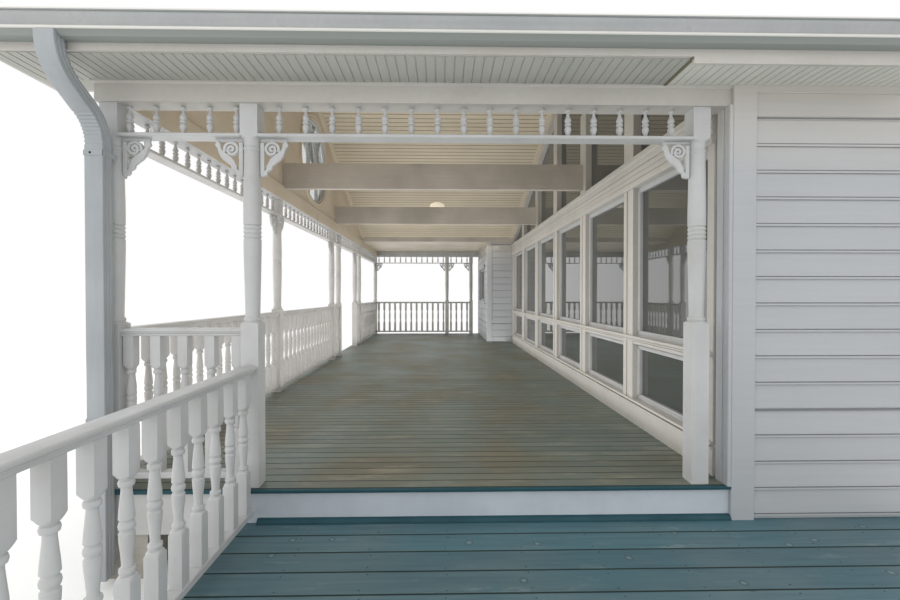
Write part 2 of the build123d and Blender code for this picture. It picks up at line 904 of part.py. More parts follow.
# Roof: two slopes meeting over the gable, and a low roof over the last bay
slope_lift = ceiling_plumb + roof_plumb
eave_top = ceiling_line(-half_header) - pitch * eave_overhang + slope_lift
soffit_top = soffit_level + soffit_board
end_top = ceiling_line(wing_y) + slope_lift
with BuildPart() as near_roof:
    with BuildSketch(Plane.YZ.offset(rake_x)):
        with BuildLine():
            Polyline(
                (eave_y, level(soffit_top)),
                (-half_header, level(soffit_top)),
                (-half_header, level(header_top)),
                (half_header, level(header_top)),
                (half_header, level(ceiling_line(half_header) + ceiling_plumb)),
                (ridge_y, level(ridge_line + ceiling_plumb)),
                (ridge_y, level(ridge_line + slope_lift)),
                (eave_y, level(eave_top)),
                close=True,
            )
        make_face()
    extrude(amount=cut_x - rake_x)
near_roof.part.label = "near_roof"
export_step(near_roof.part, "parts/near_roof.step")

with BuildPart() as far_roof:
    with BuildSketch(Plane.YZ.offset(rake_x)):
        with BuildLine():
            Polyline(
                (wing_y, level(ceiling_line(wing_y) + ceiling_plumb)),
                (ridge_y, level(ridge_line + ceiling_plumb)),
                (ridge_y, level(ridge_line + slope_lift)),
                (wing_y, level(end_top)),
                close=True,
            )
        make_face()
    extrude(amount=cut_x - rake_x)
far_roof.part.label = "far_roof"
export_step(far_roof.part, "parts/far_roof.step")

with BuildPart() as low_roof:
    with BuildSketch(Plane.YZ.offset(rake_x)):
        with BuildLine():
            Polyline(
                (wing_y, level(header_top)),
                (porch_length + half_header, level(header_top)),
                (porch_length + half_header, level(soffit_top)),
                (far_eave_y, level(soffit_top)),
                (far_eave_y, level(eave_top)),
                (wing_y, level(end_top)),
                close=True,
            )
        make_face()
    extrude(amount=cut_x - rake_x)
low_roof.part.label = "low_roof"
export_step(low_roof.part, "parts/low_roof.step")

# Eaves: the near eave returns round the corner, the low roof's eave runs round two sides
with BuildPart() as soffit:
    soffit_z = (level(soffit_level), level(soffit_top))
    block((rake_x, cut_x), (eave_y, -half_header), soffit_z)
    block((rake_x, -half_header), (eave_y, half_header), soffit_z)
    block((rake_x, -half_header), (wing_y, far_eave_y), soffit_z)
    block((rake_x, cut_x), (porch_length + half_header, far_eave_y), soffit_z)
soffit.part.label = "soffit"
export_step(soffit.part, "parts/soffit.step")

fascia_x = rake_x - fascia_board
fascia_near = eave_y - fascia_board
fascia_far = far_eave_y + fascia_board
return_top = ceiling_line(half_header) + ceiling_plumb
with BuildPart() as fascia:
    fascia_z = (level(soffit_level), level(eave_top))
    block((fascia_x, cut_x), (fascia_near, eave_y), fascia_z)
    block((fascia_x, rake_x), (fascia_near, half_header + fascia_board), fascia_z)
    block(
        (fascia_x, -half_header),
        (half_header, half_header + fascia_board),
        (level(soffit_level), level(return_top)),
    )
    block(
        (fascia_step_x, cut_x),
        (fascia_near, eave_y),
        (level(soffit_level - fascia_step), level(soffit_level)),
    )
    block((fascia_x, rake_x), (wing_y - fascia_board, fascia_far), fascia_z)
    block((fascia_x, -half_header), (wing_y - fascia_board, wing_y), fascia_z)
    block((fascia_x, cut_x), (far_eave_y, fascia_far), fascia_z)
fascia.part.label = "fascia"
export_step(fascia.part, "parts/fascia.step")

near_spring = ridge_y - (ridge_line - eave_top) / pitch
far_spring = ridge_y + (ridge_line - eave_top) / pitch
with BuildPart() as rake_boards:
    with BuildSketch(Plane.YZ.offset(fascia_x)):
        with BuildLine():
            Polyline(
                (eave_y, level(eave_top)),
                (near_spring, level(eave_top)),
                (ridge_y, level(ridge_line)),
                (far_spring, level(eave_top)),
                (far_eave_y, level(eave_top)),
                (wing_y, level(end_top)),
                (ridge_y, level(ridge_line + slope_lift)),
                close=True,
            )
        make_face()
    extrude(amount=fascia_board)
rake_boards.part.label = "rake_boards"
export_step(rake_boards.part, "parts/rake_boards.step")

# Gutter along the near eave, with its outlet over the downspout
gutter_bottom = level(eave_top + gutter_rise) - gutter_height
gutter_flare = gutter_top_width - gutter_base
with BuildPart() as gutter:
    with BuildSketch(Plane.YZ.offset(fascia_x)) as gutter_outline:
        with BuildLine():
            Polyline(
                (fascia_near, gutter_bottom),
                *[
                    (
                        fascia_near - gutter_base - gutter_flare * out,
                        gutter_bottom + gutter_height * up,
                    )
                    for out, up in gutter_front
                ],
                (fascia_near, gutter_bottom + gutter_height),
                close=True,
            )
        make_face()
    extrude(amount=cut_x - fascia_x)
    with BuildSketch(Plane.YZ.offset(fascia_x + gutter_sheet)):
        add(gutter_outline.sketch_local)
        offset(amount=-gutter_sheet, kind=Kind.INTERSECTION, mode=Mode.REPLACE)
    extrude(amount=cut_x - fascia_x - 2 * gutter_sheet, mode=Mode.SUBTRACT)
    with Locations(((fascia_x + cut_x) / 2, fascia_near, gutter_bottom + gutter_height)):
        Box(
            cut_x - fascia_x - 2 * gutter_sheet,
            2 * (gutter_top_width - gutter_lip - gutter_sheet),
            gutter_opening,
            mode=Mode.SUBTRACT,
        )
    outlet_y = fascia_near - gutter_base / 2
    with Locations((0, outlet_y, gutter_bottom)):
        Box(
            pipe_width - 2 * pipe_sheet,
            pipe_depth - 2 * pipe_sheet,
            gutter_opening,
            mode=Mode.SUBTRACT,
        )
gutter.part.label = "gutter"
export_step(gutter.part, "parts/gutter.step")

pipe_y = -deck_edge - pipe_depth / 2 - pipe_clearance
upper_bend = gutter_bottom - pipe_drop
lower_bend = gutter_bottom - pipe_lower_bend
with BuildPart() as downspout:
    with BuildLine() as pipe_run:
        FilletPolyline(
            (0, outlet_y, gutter_bottom),
            (0, outlet_y, upper_bend),
            (0, pipe_y, lower_bend),
            (0, pipe_y, pipe_ground_gap),
            radius=pipe_bend,
        )
    with BuildSketch(Plane.XY.offset(gutter_bottom)):
        with Locations((0, outlet_y)):
            Rectangle(pipe_width, pipe_depth)
            Rectangle(pipe_width - 2 * pipe_sheet, pipe_depth - 2 * pipe_sheet, mode=Mode.SUBTRACT)
    sweep(path=pipe_run.line)
    for strap_z in (level(strap_level), level(strap_level) / 2):
        block(
            (-strap_width / 2, strap_width / 2),
            (pipe_y + pipe_depth / 2, -half_post),
            (strap_z - strap_height / 2, strap_z + strap_height / 2),
        )
downspout.part.label = "downspout"
export_step(downspout.part, "parts/downspout.step")

# House wall of windows: openings cut through it, sashes and glass in them
window_pitch = bay / windows_per_bay
window_count = gable_bays * windows_per_bay
half_mullion = mullion_width / 2


def window_edges(i):
    """Near and far edge of the window opening number i along the wall."""
    start = i * window_pitch + mullion_shift + half_mullion
    return start, start + window_pitch - mullion_width


def clerestory(i):
    """Corners of the upper light over window i, its head following the roof."""
    near, far = window_edges(i)
    head = [
        (near, level(ceiling_line(near) - rake_trim)),
        (far, level(ceiling_line(far) - rake_trim)),
    ]
    if near < ridge_y < far:
        head.insert(1, (ridge_y, level(ridge_line - rake_trim)))
    return [(far, level(clerestory_sill)), (near, level(clerestory_sill)), *head]


lights = [
    (near, far, bottom, top)
    for near, far in map(window_edges, range(window_count))
    for bottom, top in (lower_light, upper_light)
]

with BuildPart() as window_wall:
    with BuildSketch(Plane.YZ.offset(wall_face_x)):
        with BuildLine():
            Polyline(
                (half_header, 0),
                (wing_y, 0),
                (wing_y, level(ceiling_line(wing_y) + ceiling_plumb)),
                (ridge_y, level(ridge_line + ceiling_plumb)),
                (half_header, level(ceiling_line(half_header) + ceiling_plumb)),
                close=True,
            )
        make_face()
        for near, far, bottom, top in lights:
            with Locations(((near + far) / 2, level((bottom + top) / 2))):
                Rectangle(far - near, top - bottom, mode=Mode.SUBTRACT)
        for i in range(window_count):
            with BuildLine():
                Polyline(*clerestory(i), close=True)
            make_face(mode=Mode.SUBTRACT)
    extrude(amount=wall_thick)
window_wall.part.label = "window_wall"
export_step(window_wall.part, "parts/window_wall.step")

house_lights = [
    *[(wall_face_x, *light) for light in lights],
    (wing_face_x, *wing_light_y, *wing_light),
]
with BuildPart() as window_sashes:
    for face_x, near, far, bottom, top in house_lights:
        with BuildSketch(Plane.YZ.offset(face_x + sash_setback)):
            with Locations(((near + far) / 2, level((bottom + top) / 2))):
                Rectangle(far - near, top - bottom)
                Rectangle(
                    far - near - 2 * sash_width,
                    top - bottom - 2 * sash_width,
                    mode=Mode.SUBTRACT,
                )
        extrude(amount=sash_depth)
window_sashes.part.label = "window_sashes"
export_step(window_sashes.part, "parts/window_sashes.step")

glass_setback = sash_setback + (sash_depth - glass_thick) / 2
with BuildPart() as window_glass:
    for face_x, near, far, bottom, top in house_lights:
        block(
            (face_x + glass_setback, face_x + glass_setback + glass_thick),
            (near + sash_width, far - sash_width),
            (level(bottom + sash_width), level(top - sash_width)),
        )
window_glass.part.label = "window_glass"
export_step(window_glass.part, "parts/window_glass.step")

with BuildPart() as clerestory_glass:
    with BuildSketch(Plane.YZ.offset(wall_face_x + glass_setback)):
        for i in range(window_count):
            with BuildLine():
                Polyline(*clerestory(i), close=True)
            make_face()
    extrude(amount=glass_thick)
clerestory_glass.part.label = "clerestory_glass"
export_step(clerestory_glass.part, "parts/clerestory_glass.step")

ledge_bottom = upper_light[1]
with BuildPart() as window_ledge:
    with BuildSketch(Plane.XZ.offset(-half_header)):
        with BuildLine():
            Polyline(
                (wall_face_x, level(ledge_bottom)),
                (wall_face_x - ledge_band, level(ledge_bottom)),
                (wall_face_x - ledge_band, level(clerestory_sill - ledge_shelf_thick)),
                (wall_face_x - ledge_shelf, level(clerestory_sill - ledge_shelf_thick)),
                (wall_face_x - ledge_shelf, level(clerestory_sill)),
                (wall_face_x, level(clerestory_sill)),
                close=True,
            )
        make_face()
    extrude(amount=-(wing_y - half_header))
window_ledge.part.label = "window_ledge"
export_step(window_ledge.part, "parts/window_ledge.step")

# House walls round the cut-off room behind the windows
with BuildPart() as near_siding_wall:
    block((wall_face_x, cut_x), (-half_header, half_header), (0, level(header_top)))
near_siding_wall.part.label = "near_siding_wall"
export_step(near_siding_wall.part, "parts/near_siding_wall.step")

with BuildPart() as corner_board:
    block(
        (wall_face_x, wall_face_x + corner_board_width),
        (-half_header - corner_board_thick, -half_header),
        (lower_deck_top, level(soffit_level)),
    )
corner_board.part.label = "corner_board"
export_step(corner_board.part, "parts/corner_board.step")

with BuildPart() as wing_wall:
    block(
        (wing_face_x, wall_face_x + wall_thick),
        (wing_y, wing_y + wall_thick),
        (0, level(header_top)),
    )
    with BuildSketch(Plane.YZ.offset(wing_face_x)):
        with Locations(((wing_y + porch_length + half_header) / 2, level(header_top) / 2)):
            Rectangle(porch_length + half_header - wing_y, level(header_top))
        with Locations((sum(wing_light_y) / 2, level(sum(wing_light) / 2))):
            Rectangle(wing_light_y[1] - wing_light_y[0], wing_light[1] - wing_light[0], mode=Mode.SUBTRACT)
    extrude(amount=wall_thick)
wing_wall.part.label = "wing_wall"
export_step(wing_wall.part, "parts/wing_wall.step")

with BuildPart() as far_house_wall:
    block(
        (wing_face_x + wall_thick, cut_x),
        (far_header_y, porch_length + half_header),
        (0, level(header_top)),
    )
far_house_wall.part.label = "far_house_wall"
export_step(far_house_wall.part, "parts/far_house_wall.step")

with BuildPart() as party_wall:
    with BuildSketch(Plane.YZ.offset(cut_x - wall_thick)):
        with BuildLine():
            Polyline(
                (half_header, 0),
                (far_header_y, 0),
                (far_header_y, level(header_top)),
                (wing_y, level(header_top)),
                (wing_y, level(ceiling_line(wing_y) + ceiling_plumb)),
                (ridge_y, level(ridge_line + ceiling_plumb)),
                (half_header, level(ceiling_line(half_header) + ceiling_plumb)),
                close=True,
            )
        make_face()
    extrude(amount=wall_thick)
party_wall.part.label = "party_wall"
export_step(party_wall.part, "parts/party_wall.step")

with BuildPart() as room_floor:
    with BuildSketch(Plane.XY.offset(deck_top - room_floor_thick)):
        with BuildLine():
            Polyline(
                (wall_face_x + wall_thick, half_header),
                (cut_x - wall_thick, half_header),
                (cut_x - wall_thick, far_header_y),
                (wing_face_x + wall_thick, far_header_y),
                (wing_face_x + wall_thick, wing_y + wall_thick),
                (wall_face_x + wall_thick, wing_y + wall_thick),
                close=True,
            )
        make_face()
    extrude(amount=room_floor_thick)
room_floor.part.label = "room_floor"
export_step(room_floor.part, "parts/room_floor.step")

# Round light on the sloping ceiling, halfway between the last two tie beams
lamp_y = (bay * (gable_bays - 1) + tie_offset + tie_thick + tie_near_y) / 2
lamp_x = (gable_face + wall_face_x) / 2
lamp_plane = Plane(
    origin=(lamp_x, lamp_y, level(ceiling_line(lamp_y))),
    x_dir=(1, 0, 0),
    z_dir=(0, -pitch, -1),
)
with BuildPart() as ceiling_light:
    with Locations(lamp_plane):
        add(turned(lamp_turning, lamp_depth, lamp_radius, lamp_sides))
ceiling_light.part.label = "ceiling_light"
export_step(ceiling_light.part, "parts/ceiling_light.step")
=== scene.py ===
"""Front porch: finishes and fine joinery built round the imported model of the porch.

Laid out as an add-on: the sizes and colours that can be changed are properties, and each group of
like pieces is made by its own operator. Lengths are metres, X towards the house, Y along the porch
away from the step, Z up.
"""

import random
from itertools import pairwise
from math import atan2, cos, hypot, radians, sin, sqrt, tau

import bmesh
import bpy
from bpy.props import FloatProperty, FloatVectorProperty, PointerProperty
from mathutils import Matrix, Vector


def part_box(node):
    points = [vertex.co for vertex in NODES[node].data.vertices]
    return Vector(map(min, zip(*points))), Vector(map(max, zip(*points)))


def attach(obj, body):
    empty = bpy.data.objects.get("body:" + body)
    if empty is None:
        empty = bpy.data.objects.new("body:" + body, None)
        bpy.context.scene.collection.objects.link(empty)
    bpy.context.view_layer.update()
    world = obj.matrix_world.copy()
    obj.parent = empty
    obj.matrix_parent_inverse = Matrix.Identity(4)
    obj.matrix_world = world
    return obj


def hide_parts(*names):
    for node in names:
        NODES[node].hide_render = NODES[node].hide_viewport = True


bl_info = {
    "name": "Front Porch",
    "version": (1, 0, 0),
    "blender": (4, 5, 0),
    "location": "View3D > Sidebar > Porch",
    "description": "Finishes and fine joinery of a timber front porch",
    "category": "Object",
}

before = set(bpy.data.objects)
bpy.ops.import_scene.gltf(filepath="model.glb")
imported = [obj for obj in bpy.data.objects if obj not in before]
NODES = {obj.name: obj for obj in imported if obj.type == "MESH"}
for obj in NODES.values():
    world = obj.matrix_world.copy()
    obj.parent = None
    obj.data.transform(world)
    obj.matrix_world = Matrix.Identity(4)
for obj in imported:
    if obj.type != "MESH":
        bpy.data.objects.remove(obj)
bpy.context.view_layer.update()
ROOT = "root"

# Places read from the frame
DECK_LOW, DECK_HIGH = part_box("upper_deck_floor")
LOWER_LOW, LOWER_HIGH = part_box("lower_deck_floor")
POST_LOW, POST_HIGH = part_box("corner_post")
HEADER_LOW, HEADER_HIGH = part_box("near_header")
FAR_HEADER_LOW, FAR_HEADER_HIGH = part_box("far_header")
SOFFIT_LOW, SOFFIT_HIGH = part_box("soffit")
CEILING_LOW, CEILING_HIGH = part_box("near_ceiling")
WING_LOW, WING_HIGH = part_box("wing_wall")
GUTTER_LOW, GUTTER_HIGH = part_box("gutter")
GABLE_LOW, GABLE_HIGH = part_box("gable_wall")
DECK_TOP = DECK_HIGH.z
LOWER_TOP = LOWER_HIGH.z
WALL_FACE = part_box("window_wall")[0].x
WING_FACE = WING_LOW.x
RIDGE_Y = CEILING_HIGH.y

# Places of the roof, the eaves and the oval window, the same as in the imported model
ROOF_RISE = 0.375
SOFFIT_JOINT_X = 3.245
LOW_EAVE_Y = 8.021
LOW_EAVE_Z = 3.0337
OVAL_CENTRE = (4.05, 3.644)
OVAL_HALF = (0.66, 0.605)


def hex_colour(text):
    """sRGB hex value as linear red, green and blue."""
    shares = [int(text[i : i + 2], 16) / 255 for i in (1, 3, 5)]
    return tuple(s / 12.92 if s <= 0.04045 else ((s + 0.055) / 1.055) ** 2.4 for s in shares)


def size(name, description, default):
    """A length that a user may change."""
    return FloatProperty(name=name, description=description, default=default, unit="LENGTH")


def colour(name, description, default):
    """A paint or material colour that a user may change."""
    return FloatVectorProperty(name=name, description=description, default=hex_colour(default),
                               subtype="COLOR", min=0.0, max=1.0)


class PorchSizes(bpy.types.PropertyGroup):
    """Sizes of the fine joinery."""

    spindle_pitch: size("Spindle pitch", "From one frieze spindle to the next", 0.157)
    spindle_margin: size("Spindle margin", "Least space between a post and a spindle's axis", 0.035)
    spindle_radius: size("Spindle radius", "Largest radius of a frieze spindle", 0.0205)
    baluster_pitch: size("Baluster pitch", "From one baluster to the next", 0.158)
    baluster_margin: size("Baluster margin", "Least space between a post and a baluster's axis", 0.03)
    baluster_half: size("Half baluster", "Half the width of a baluster's square ends", 0.0285)
    hand_rail_height: size("Hand rail height", "Height of the moulded hand rail", 0.046)
    foot_rail_height: size("Foot rail height", "Height of the foot rail", 0.038)
    foot_rail_width: size("Foot rail width", "Width of the foot rail", 0.064)
    frieze_rail: size("Frieze rail", "Thickness of the flat rail under the spindles", 0.020)
    post_base_block: size("Base block", "Height of a post's square foot above the deck", 0.970)
    post_top_block: size("Top block", "Height of a post's square head", 0.192)
    bracket_bar: size("Bracket bar", "Width of a bracket's two straight bars", 0.024)
    bracket_scroll: size("Bracket scroll", "Half the sawn width of a bracket's scroll", 0.0083)
    upper_board: size("Porch board", "Pitch of the upper deck's boards", 0.100)
    lower_board: size("Deck board", "Pitch of the lower deck's boards", 0.1665)
    board_gap: size("Board gap", "Open joint between two deck boards", 0.004)
    # A board's dark edge is packed dirt and painted shade of the gap
    board_ease: size("Board edge", "Width of a deck board's eased and dirty edge", 0.0035)
    joist_pitch: size("Joist pitch", "From one joist to the next", 0.406)
    screw_head: size("Screw head", "Radius of a deck screw's head", 0.0042)
    nosing: size("Nosing", "Depth of the rounded strip along the deck's edge", 0.020)
    lap: size("Siding lap", "Exposed height of a siding lap", 0.157)
    ceiling_board: size("Ceiling board", "Width of a ceiling board", 0.089)
    soffit_rib: size("Soffit rib", "Pitch of the soffit's ribs", 0.052)
    casing: size("Casing", "Width of the trim round a window", 0.070)
    casing_thick: size("Casing thickness", "How far window trim stands off the wall", 0.018)
    shingle_course: size("Shingle course", "Exposed height of a course of shingles", 0.140)
    shingle_tab: size("Shingle tab", "Width of one shingle tab", 0.305)


class PorchColours(bpy.types.PropertyGroup):
    """Colours of the finishes."""

    paint: colour("White paint", "Posts, rails, headers and trim", "#BDBEBE")
    # The tie beams' white, with their shade painted in
    beam_paint_in_shade: colour("Beam paint", "Tie beams across the vault", "#C2BAB1")
    cream: colour("Cream paint", "Boarded ceilings", "#D0C4AE")
    trim: colour("Trim paint", "Window wall, its casings and the ledge", "#BFBCB6")
    porch_floor: colour("Porch floor", "Worn grey-green porch paint", "#66726C")
    deck_stain: colour("Deck stain", "Blue-green stain of the lower deck", "#4C6E78")
    nosing_paint: colour("Nosing paint", "Dark teal of the nosing and the moulding", "#11444E")
    siding: colour("Siding", "Satin white lap siding", "#AEB1B4")
    soffit: colour("Soffit", "Ribbed soffit panels", "#B0B0A9")
    enamel: colour("Enamel", "Baked enamel of the gutter", "#ABADAE")
    glass: colour("Glass", "Tint of the window glass", "#666C68")
    shingle: colour("Shingles", "Mineral surface of the shingles", "#4A525C")
    concrete: colour("Concrete", "Bare cast piers", "#A9A69E")
    timber: colour("Timber", "Unpainted framing timber", "#A98F6C")


def sizes():
    """The sizes in use."""
    return bpy.context.scene.porch_sizes


# Shapes: a piece grows as closed rings of points joined into solids


def normals(path):
    """The unit vector across a flat path, at each of its points."""
    for before, after in zip([path[0], *path], [*path[1:], path[-1]]):
        run = hypot(after[0] - before[0], after[1] - before[1])
        yield -(after[1] - before[1]) / run, (after[0] - before[0]) / run


class Shape:
    """Corners and faces of a piece that grows part by part."""

    def __init__(self):
        self.corners = []
        self.faces = []
        self.finishes = []

    def skin(self, rings, finish=0, loop=False, marks=None):
        """Joins rings of equally many points into one solid, with flat ends unless it closes on itself.

        marks gives other finishes to some sides, counted round the ring.
        """
        count = len(rings[0])
        start = len(self.corners)
        for ring in rings:
            self.corners.extend(ring)
        for step in range(len(rings) if loop else len(rings) - 1):
            near = start + step * count
            far = start + (step + 1) % len(rings) * count
            for i in range(count):
                j = (i + 1) % count
                self.faces.append((near + i, near + j, far + j, far + i))
                self.finishes.append((marks or {}).get(i, finish))
        if not loop:
            for end in (start, len(self.corners) - count):
                self.faces.append(tuple(range(end, end + count)))
                self.finishes.append(finish)

    def board(self, low, high, along=0, ease=0.002, finish=0, mark=None):
        """A straight board between two corners, its long edges eased; mark is the finish of its edges."""
        a, b = [axis for axis in range(3) if axis != along]
        section = [(low[a] + ease, low[b]), (high[a] - ease, low[b]), (high[a], low[b] + ease),
                   (high[a], high[b] - ease), (high[a] - ease, high[b]), (low[a] + ease, high[b]),
                   (low[a], high[b] - ease), (low[a], low[b] + ease)]
        rings = [[(*flat[:along], end, *flat[along:]) for flat in section] for end in (low[along], high[along])]
        self.skin(rings, finish, marks=None if mark is None else dict.fromkeys((1, 2, 3, 5, 6, 7), mark))

    def turned(self, centre, outline, half, sides):
        """Square stock turned on a lathe: each ring is the smaller of the square and the cut's radius."""
        x, y, z = centre
        rings = []
        for height, share in outline:
            ring = []
            for i in range(sides):
                turn = tau * i / sides
                radius = min(half / max(abs(cos(turn)), abs(sin(turn))), share * half)
                ring.append((x + radius * cos(turn), y + radius * sin(turn), z + height))
            rings.append(ring)
        self.skin(rings)

    def band(self, line, depth, place, ease=0.0015):
        """A sawn band along a flat line of points with half widths; place turns flat points into space."""
        rings = []
        for (x, z, half), (nx, nz) in zip(line, normals(line)):
            rings.append([place(x + nx * across, out, z + nz * across) for across, out in (
                (-half, ease - depth), (-half, depth - ease), (ease - half, depth), (half - ease, depth),
                (half, depth - ease), (half, ease - depth), (half - ease, -depth), (ease - half, -depth),
            )])
        self.skin(rings)

    def sweep(self, section, place, start, end, marks=None):
        """A straight moulding: its section is drawn as points out from and up a face."""
        self.skin([[place(along, out, up) for out, up in section] for along in (start, end)], marks=marks)


def smoothed(points, steps):
    """A curve through points, with extra points between them."""
    points = [Vector(point) for point in (points[0], *points, points[-1])]
    curve = []
    for p0, p1, p2, p3 in zip(points, points[1:], points[2:], points[3:]):
        for step in range(steps):
            t = step / steps
            curve.append(0.5 * (2 * p1 + (p2 - p0) * t + (2 * p0 - 5 * p1 + 4 * p2 - p3) * t * t
                                + (3 * p1 - p0 - 3 * p2 + p3) * t**3))
    return curve + [points[-1]]


def solids(node):
    """Lowest and highest corners of each separate solid in a CAD node, nearest first."""
    mesh = NODES[node].data
    owner = {}

    def root(key):
        while owner[key] != key:
            owner[key] = owner[owner[key]]
            key = owner[key]
        return key

    for face in mesh.polygons:
        keys = [tuple(round(c, 5) for c in mesh.vertices[v].co) for v in face.vertices]
        for key in keys:
            owner.setdefault(key, key)
        for key in keys[1:]:
            owner[root(key)] = root(keys[0])
    groups = {}
    for key in owner:
        groups.setdefault(root(key), []).append(key)
    boxes = [[Vector([pick(c) for c in zip(*group)]) for pick in (min, max)] for group in groups.values()]
    return sorted(boxes, key=lambda box: [round(box[0][axis], 3) for axis in (1, 0, 2)])


def spread(span, pitch, margin):
    """Places of evenly spaced pieces along a clear span, centred, with a margin at each end."""
    count = max(1, int((span - 2 * margin) / pitch + 1e-6) + 1)
    return [span / 2 + pitch * (i - (count - 1) / 2) for i in range(count)]


def even(start, end, pitch):
    """Edges of equal boards that fill a width, nearest to a wanted pitch."""
    count = max(1, round((end - start) / pitch))
    return [start + (end - start) * i / count for i in range(count + 1)]


def on_run(low, high):
    """The axis a run of joinery follows, where it starts and ends, and the middle of its width."""
    axis = 0 if high.x - low.x > high.y - low.y else 1
    return axis, low[axis], high[axis], (low[1 - axis] + high[1 - axis]) / 2


def at(axis, along, across, up):
    """A point given along and across a run."""
    return (along, across, up) if axis == 0 else (across, along, up)


def piece(name, shape, finishes, replaces=()):
    """Makes a visible piece from a shape, gives it its finishes and ties it to the frame."""
    mesh = bpy.data.meshes.new(name)
    mesh.from_pydata(shape.corners, [], shape.faces)
    mesh.polygons.foreach_set("material_index", shape.finishes)
    mesh.polygons.foreach_set("use_smooth", [True] * len(mesh.polygons))
    work = bmesh.new()
    work.from_mesh(mesh)
    bmesh.ops.recalc_face_normals(work, faces=work.faces)
    work.to_mesh(mesh)
    work.free()
    mesh.set_sharp_from_angle(angle=radians(32.0))
    for finish in finishes.split():
        mesh.materials.append(FINISHES[finish])
    made = bpy.data.objects.new(name, mesh)
    bpy.context.scene.collection.objects.link(made)
    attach(made, ROOT)
    if replaces:
        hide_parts(*replaces)


def stand_in(node, shape, finishes):
    """Makes the detailed piece that stands for a CAD node."""
    piece("fine_" + node, shape, finishes, (node,))


# Materials


def add(tree, kind, inputs=None, **settings):
    """Adds a shader node with its settings; an input is a constant or the output linked to it."""
    made = tree.nodes.new("ShaderNode" + kind)
    for name, value in settings.items():
        setattr(made, name, value)
    for name, value in (inputs or {}).items():
        if isinstance(value, bpy.types.NodeSocket):
            tree.links.new(value, made.inputs[name])
        else:
            made.inputs[name].default_value = value
    return made


def empty_tree(owner):
    """The node tree of a material or world, cleared."""
    owner.use_nodes = True
    owner.node_tree.nodes.clear()
    return owner.node_tree


def solid_tone(tone):
    """A colour given as hex text or as a property, made opaque."""
    return (*(hex_colour(tone) if isinstance(tone, str) else tone), 1.0)


def paint_over(name, tone, second, patch=0.35, mottle=0.5, grain=(9, 9, 9), grain_tone="#8C8880", grain_share=0.12,
               worn="#8A8578", worn_at=(0.76, 0.82), worn_size=0.09, worn_stretch=(1, 1, 1), worn_share=1.0,
               rough=0.42, relief=0.0004, tints=0.0, knots=0.0, turn_to=None):
    """A coated or bare surface: patches, grain, worn spots, knots, tints by the board and fine relief."""
    made = bpy.data.materials.new(name)
    tree = empty_tree(made)
    place = add(tree, "TexCoord").outputs["Object"]
    island = add(tree, "NewGeometry").outputs["Random Per Island"]
    shifted = add(tree, "VectorMath", {0: place, 1: island}, operation="ADD").outputs[0]
    stretched, drawn = [add(tree, "Mapping", {"Vector": shifted, "Scale": stretch}).outputs[0]
                        for stretch in (grain, worn_stretch)]
    patches, lines, spots = [
        add(tree, "TexNoise", {"Vector": vector, "Scale": scale, "Detail": detail, "Roughness": fineness}).outputs[0]
        for vector, scale, detail, fineness in (
            (place, 1 / patch, 5.0, 0.5), (stretched, 1.0, 6.0, 0.65), (drawn, 1 / worn_size, 9.0, 0.7),
        )
    ]
    layers = [(patches, 0.4, 0.68, mottle, second)]
    if turn_to:
        # The coat turns to another tone along one axis, from one place to the next
        axis, start, end, other = turn_to
        layers.append((add(tree, "SeparateXYZ", {0: place}).outputs[axis], start, end, 1.0, other))
    layers += [(lines, 0.42, 0.75, grain_share, grain_tone), (spots, *worn_at, worn_share, worn)]
    if knots:
        # Each knot has a ragged dark rim and a pale heart
        cells = add(tree, "TexVoronoi", {"Vector": shifted, "Scale": 2.6}, voronoi_dimensions="2D").outputs[0]
        ragged = add(tree, "Math", {0: spots, 1: 0.06, 2: -0.03}, operation="MULTIPLY_ADD").outputs[0]
        cells = add(tree, "Math", {0: cells, 1: ragged}, operation="ADD").outputs[0]
        layers += [(cells, 0.064, 0.046, knots, grain_tone), (cells, 0.044, 0.020, knots * 0.7, worn)]
    base = solid_tone(tone)
    for mask, low, high, most, over in layers:
        share = add(tree, "MapRange", {"Value": mask, "From Min": low, "From Max": high, "To Max": most}).outputs[0]
        base = add(tree, "Mix", {0: share, 6: base, 7: solid_tone(over)}, data_type="RGBA").outputs[2]
    tint = add(tree, "MapRange", {"Value": island, "To Min": 1.0 - tints, "To Max": 1.0 + tints}).outputs[0]
    base = add(tree, "HueSaturation", {"Value": tint, "Color": base}).outputs[0]
    gloss = add(tree, "MapRange", {"Value": patches, "From Min": 0.3, "From Max": 0.7,
                                   "To Min": rough - 0.08, "To Max": rough + 0.1}).outputs[0]
    bump = add(tree, "Bump", {"Height": lines, "Strength": 0.6, "Distance": relief}).outputs[0]
    shader = add(tree, "BsdfPrincipled", {"Base Color": base, "Roughness": gloss, "IOR": 1.5, "Normal": bump})
    add(tree, "OutputMaterial", {"Surface": shader.outputs[0]})
    return made


def plain(name, tone, **inputs):
    """A plain surface: its own inputs are written as on the shader, with spaces as underscores."""
    made = bpy.data.materials.new(name)
    tree = empty_tree(made)
    values = {key.replace("_", " "): value for key, value in inputs.items()}
    shader = add(tree, "BsdfPrincipled", {"Base Color": solid_tone(tone), **values})
    add(tree, "OutputMaterial", {"Surface": shader.outputs[0]})
    return made


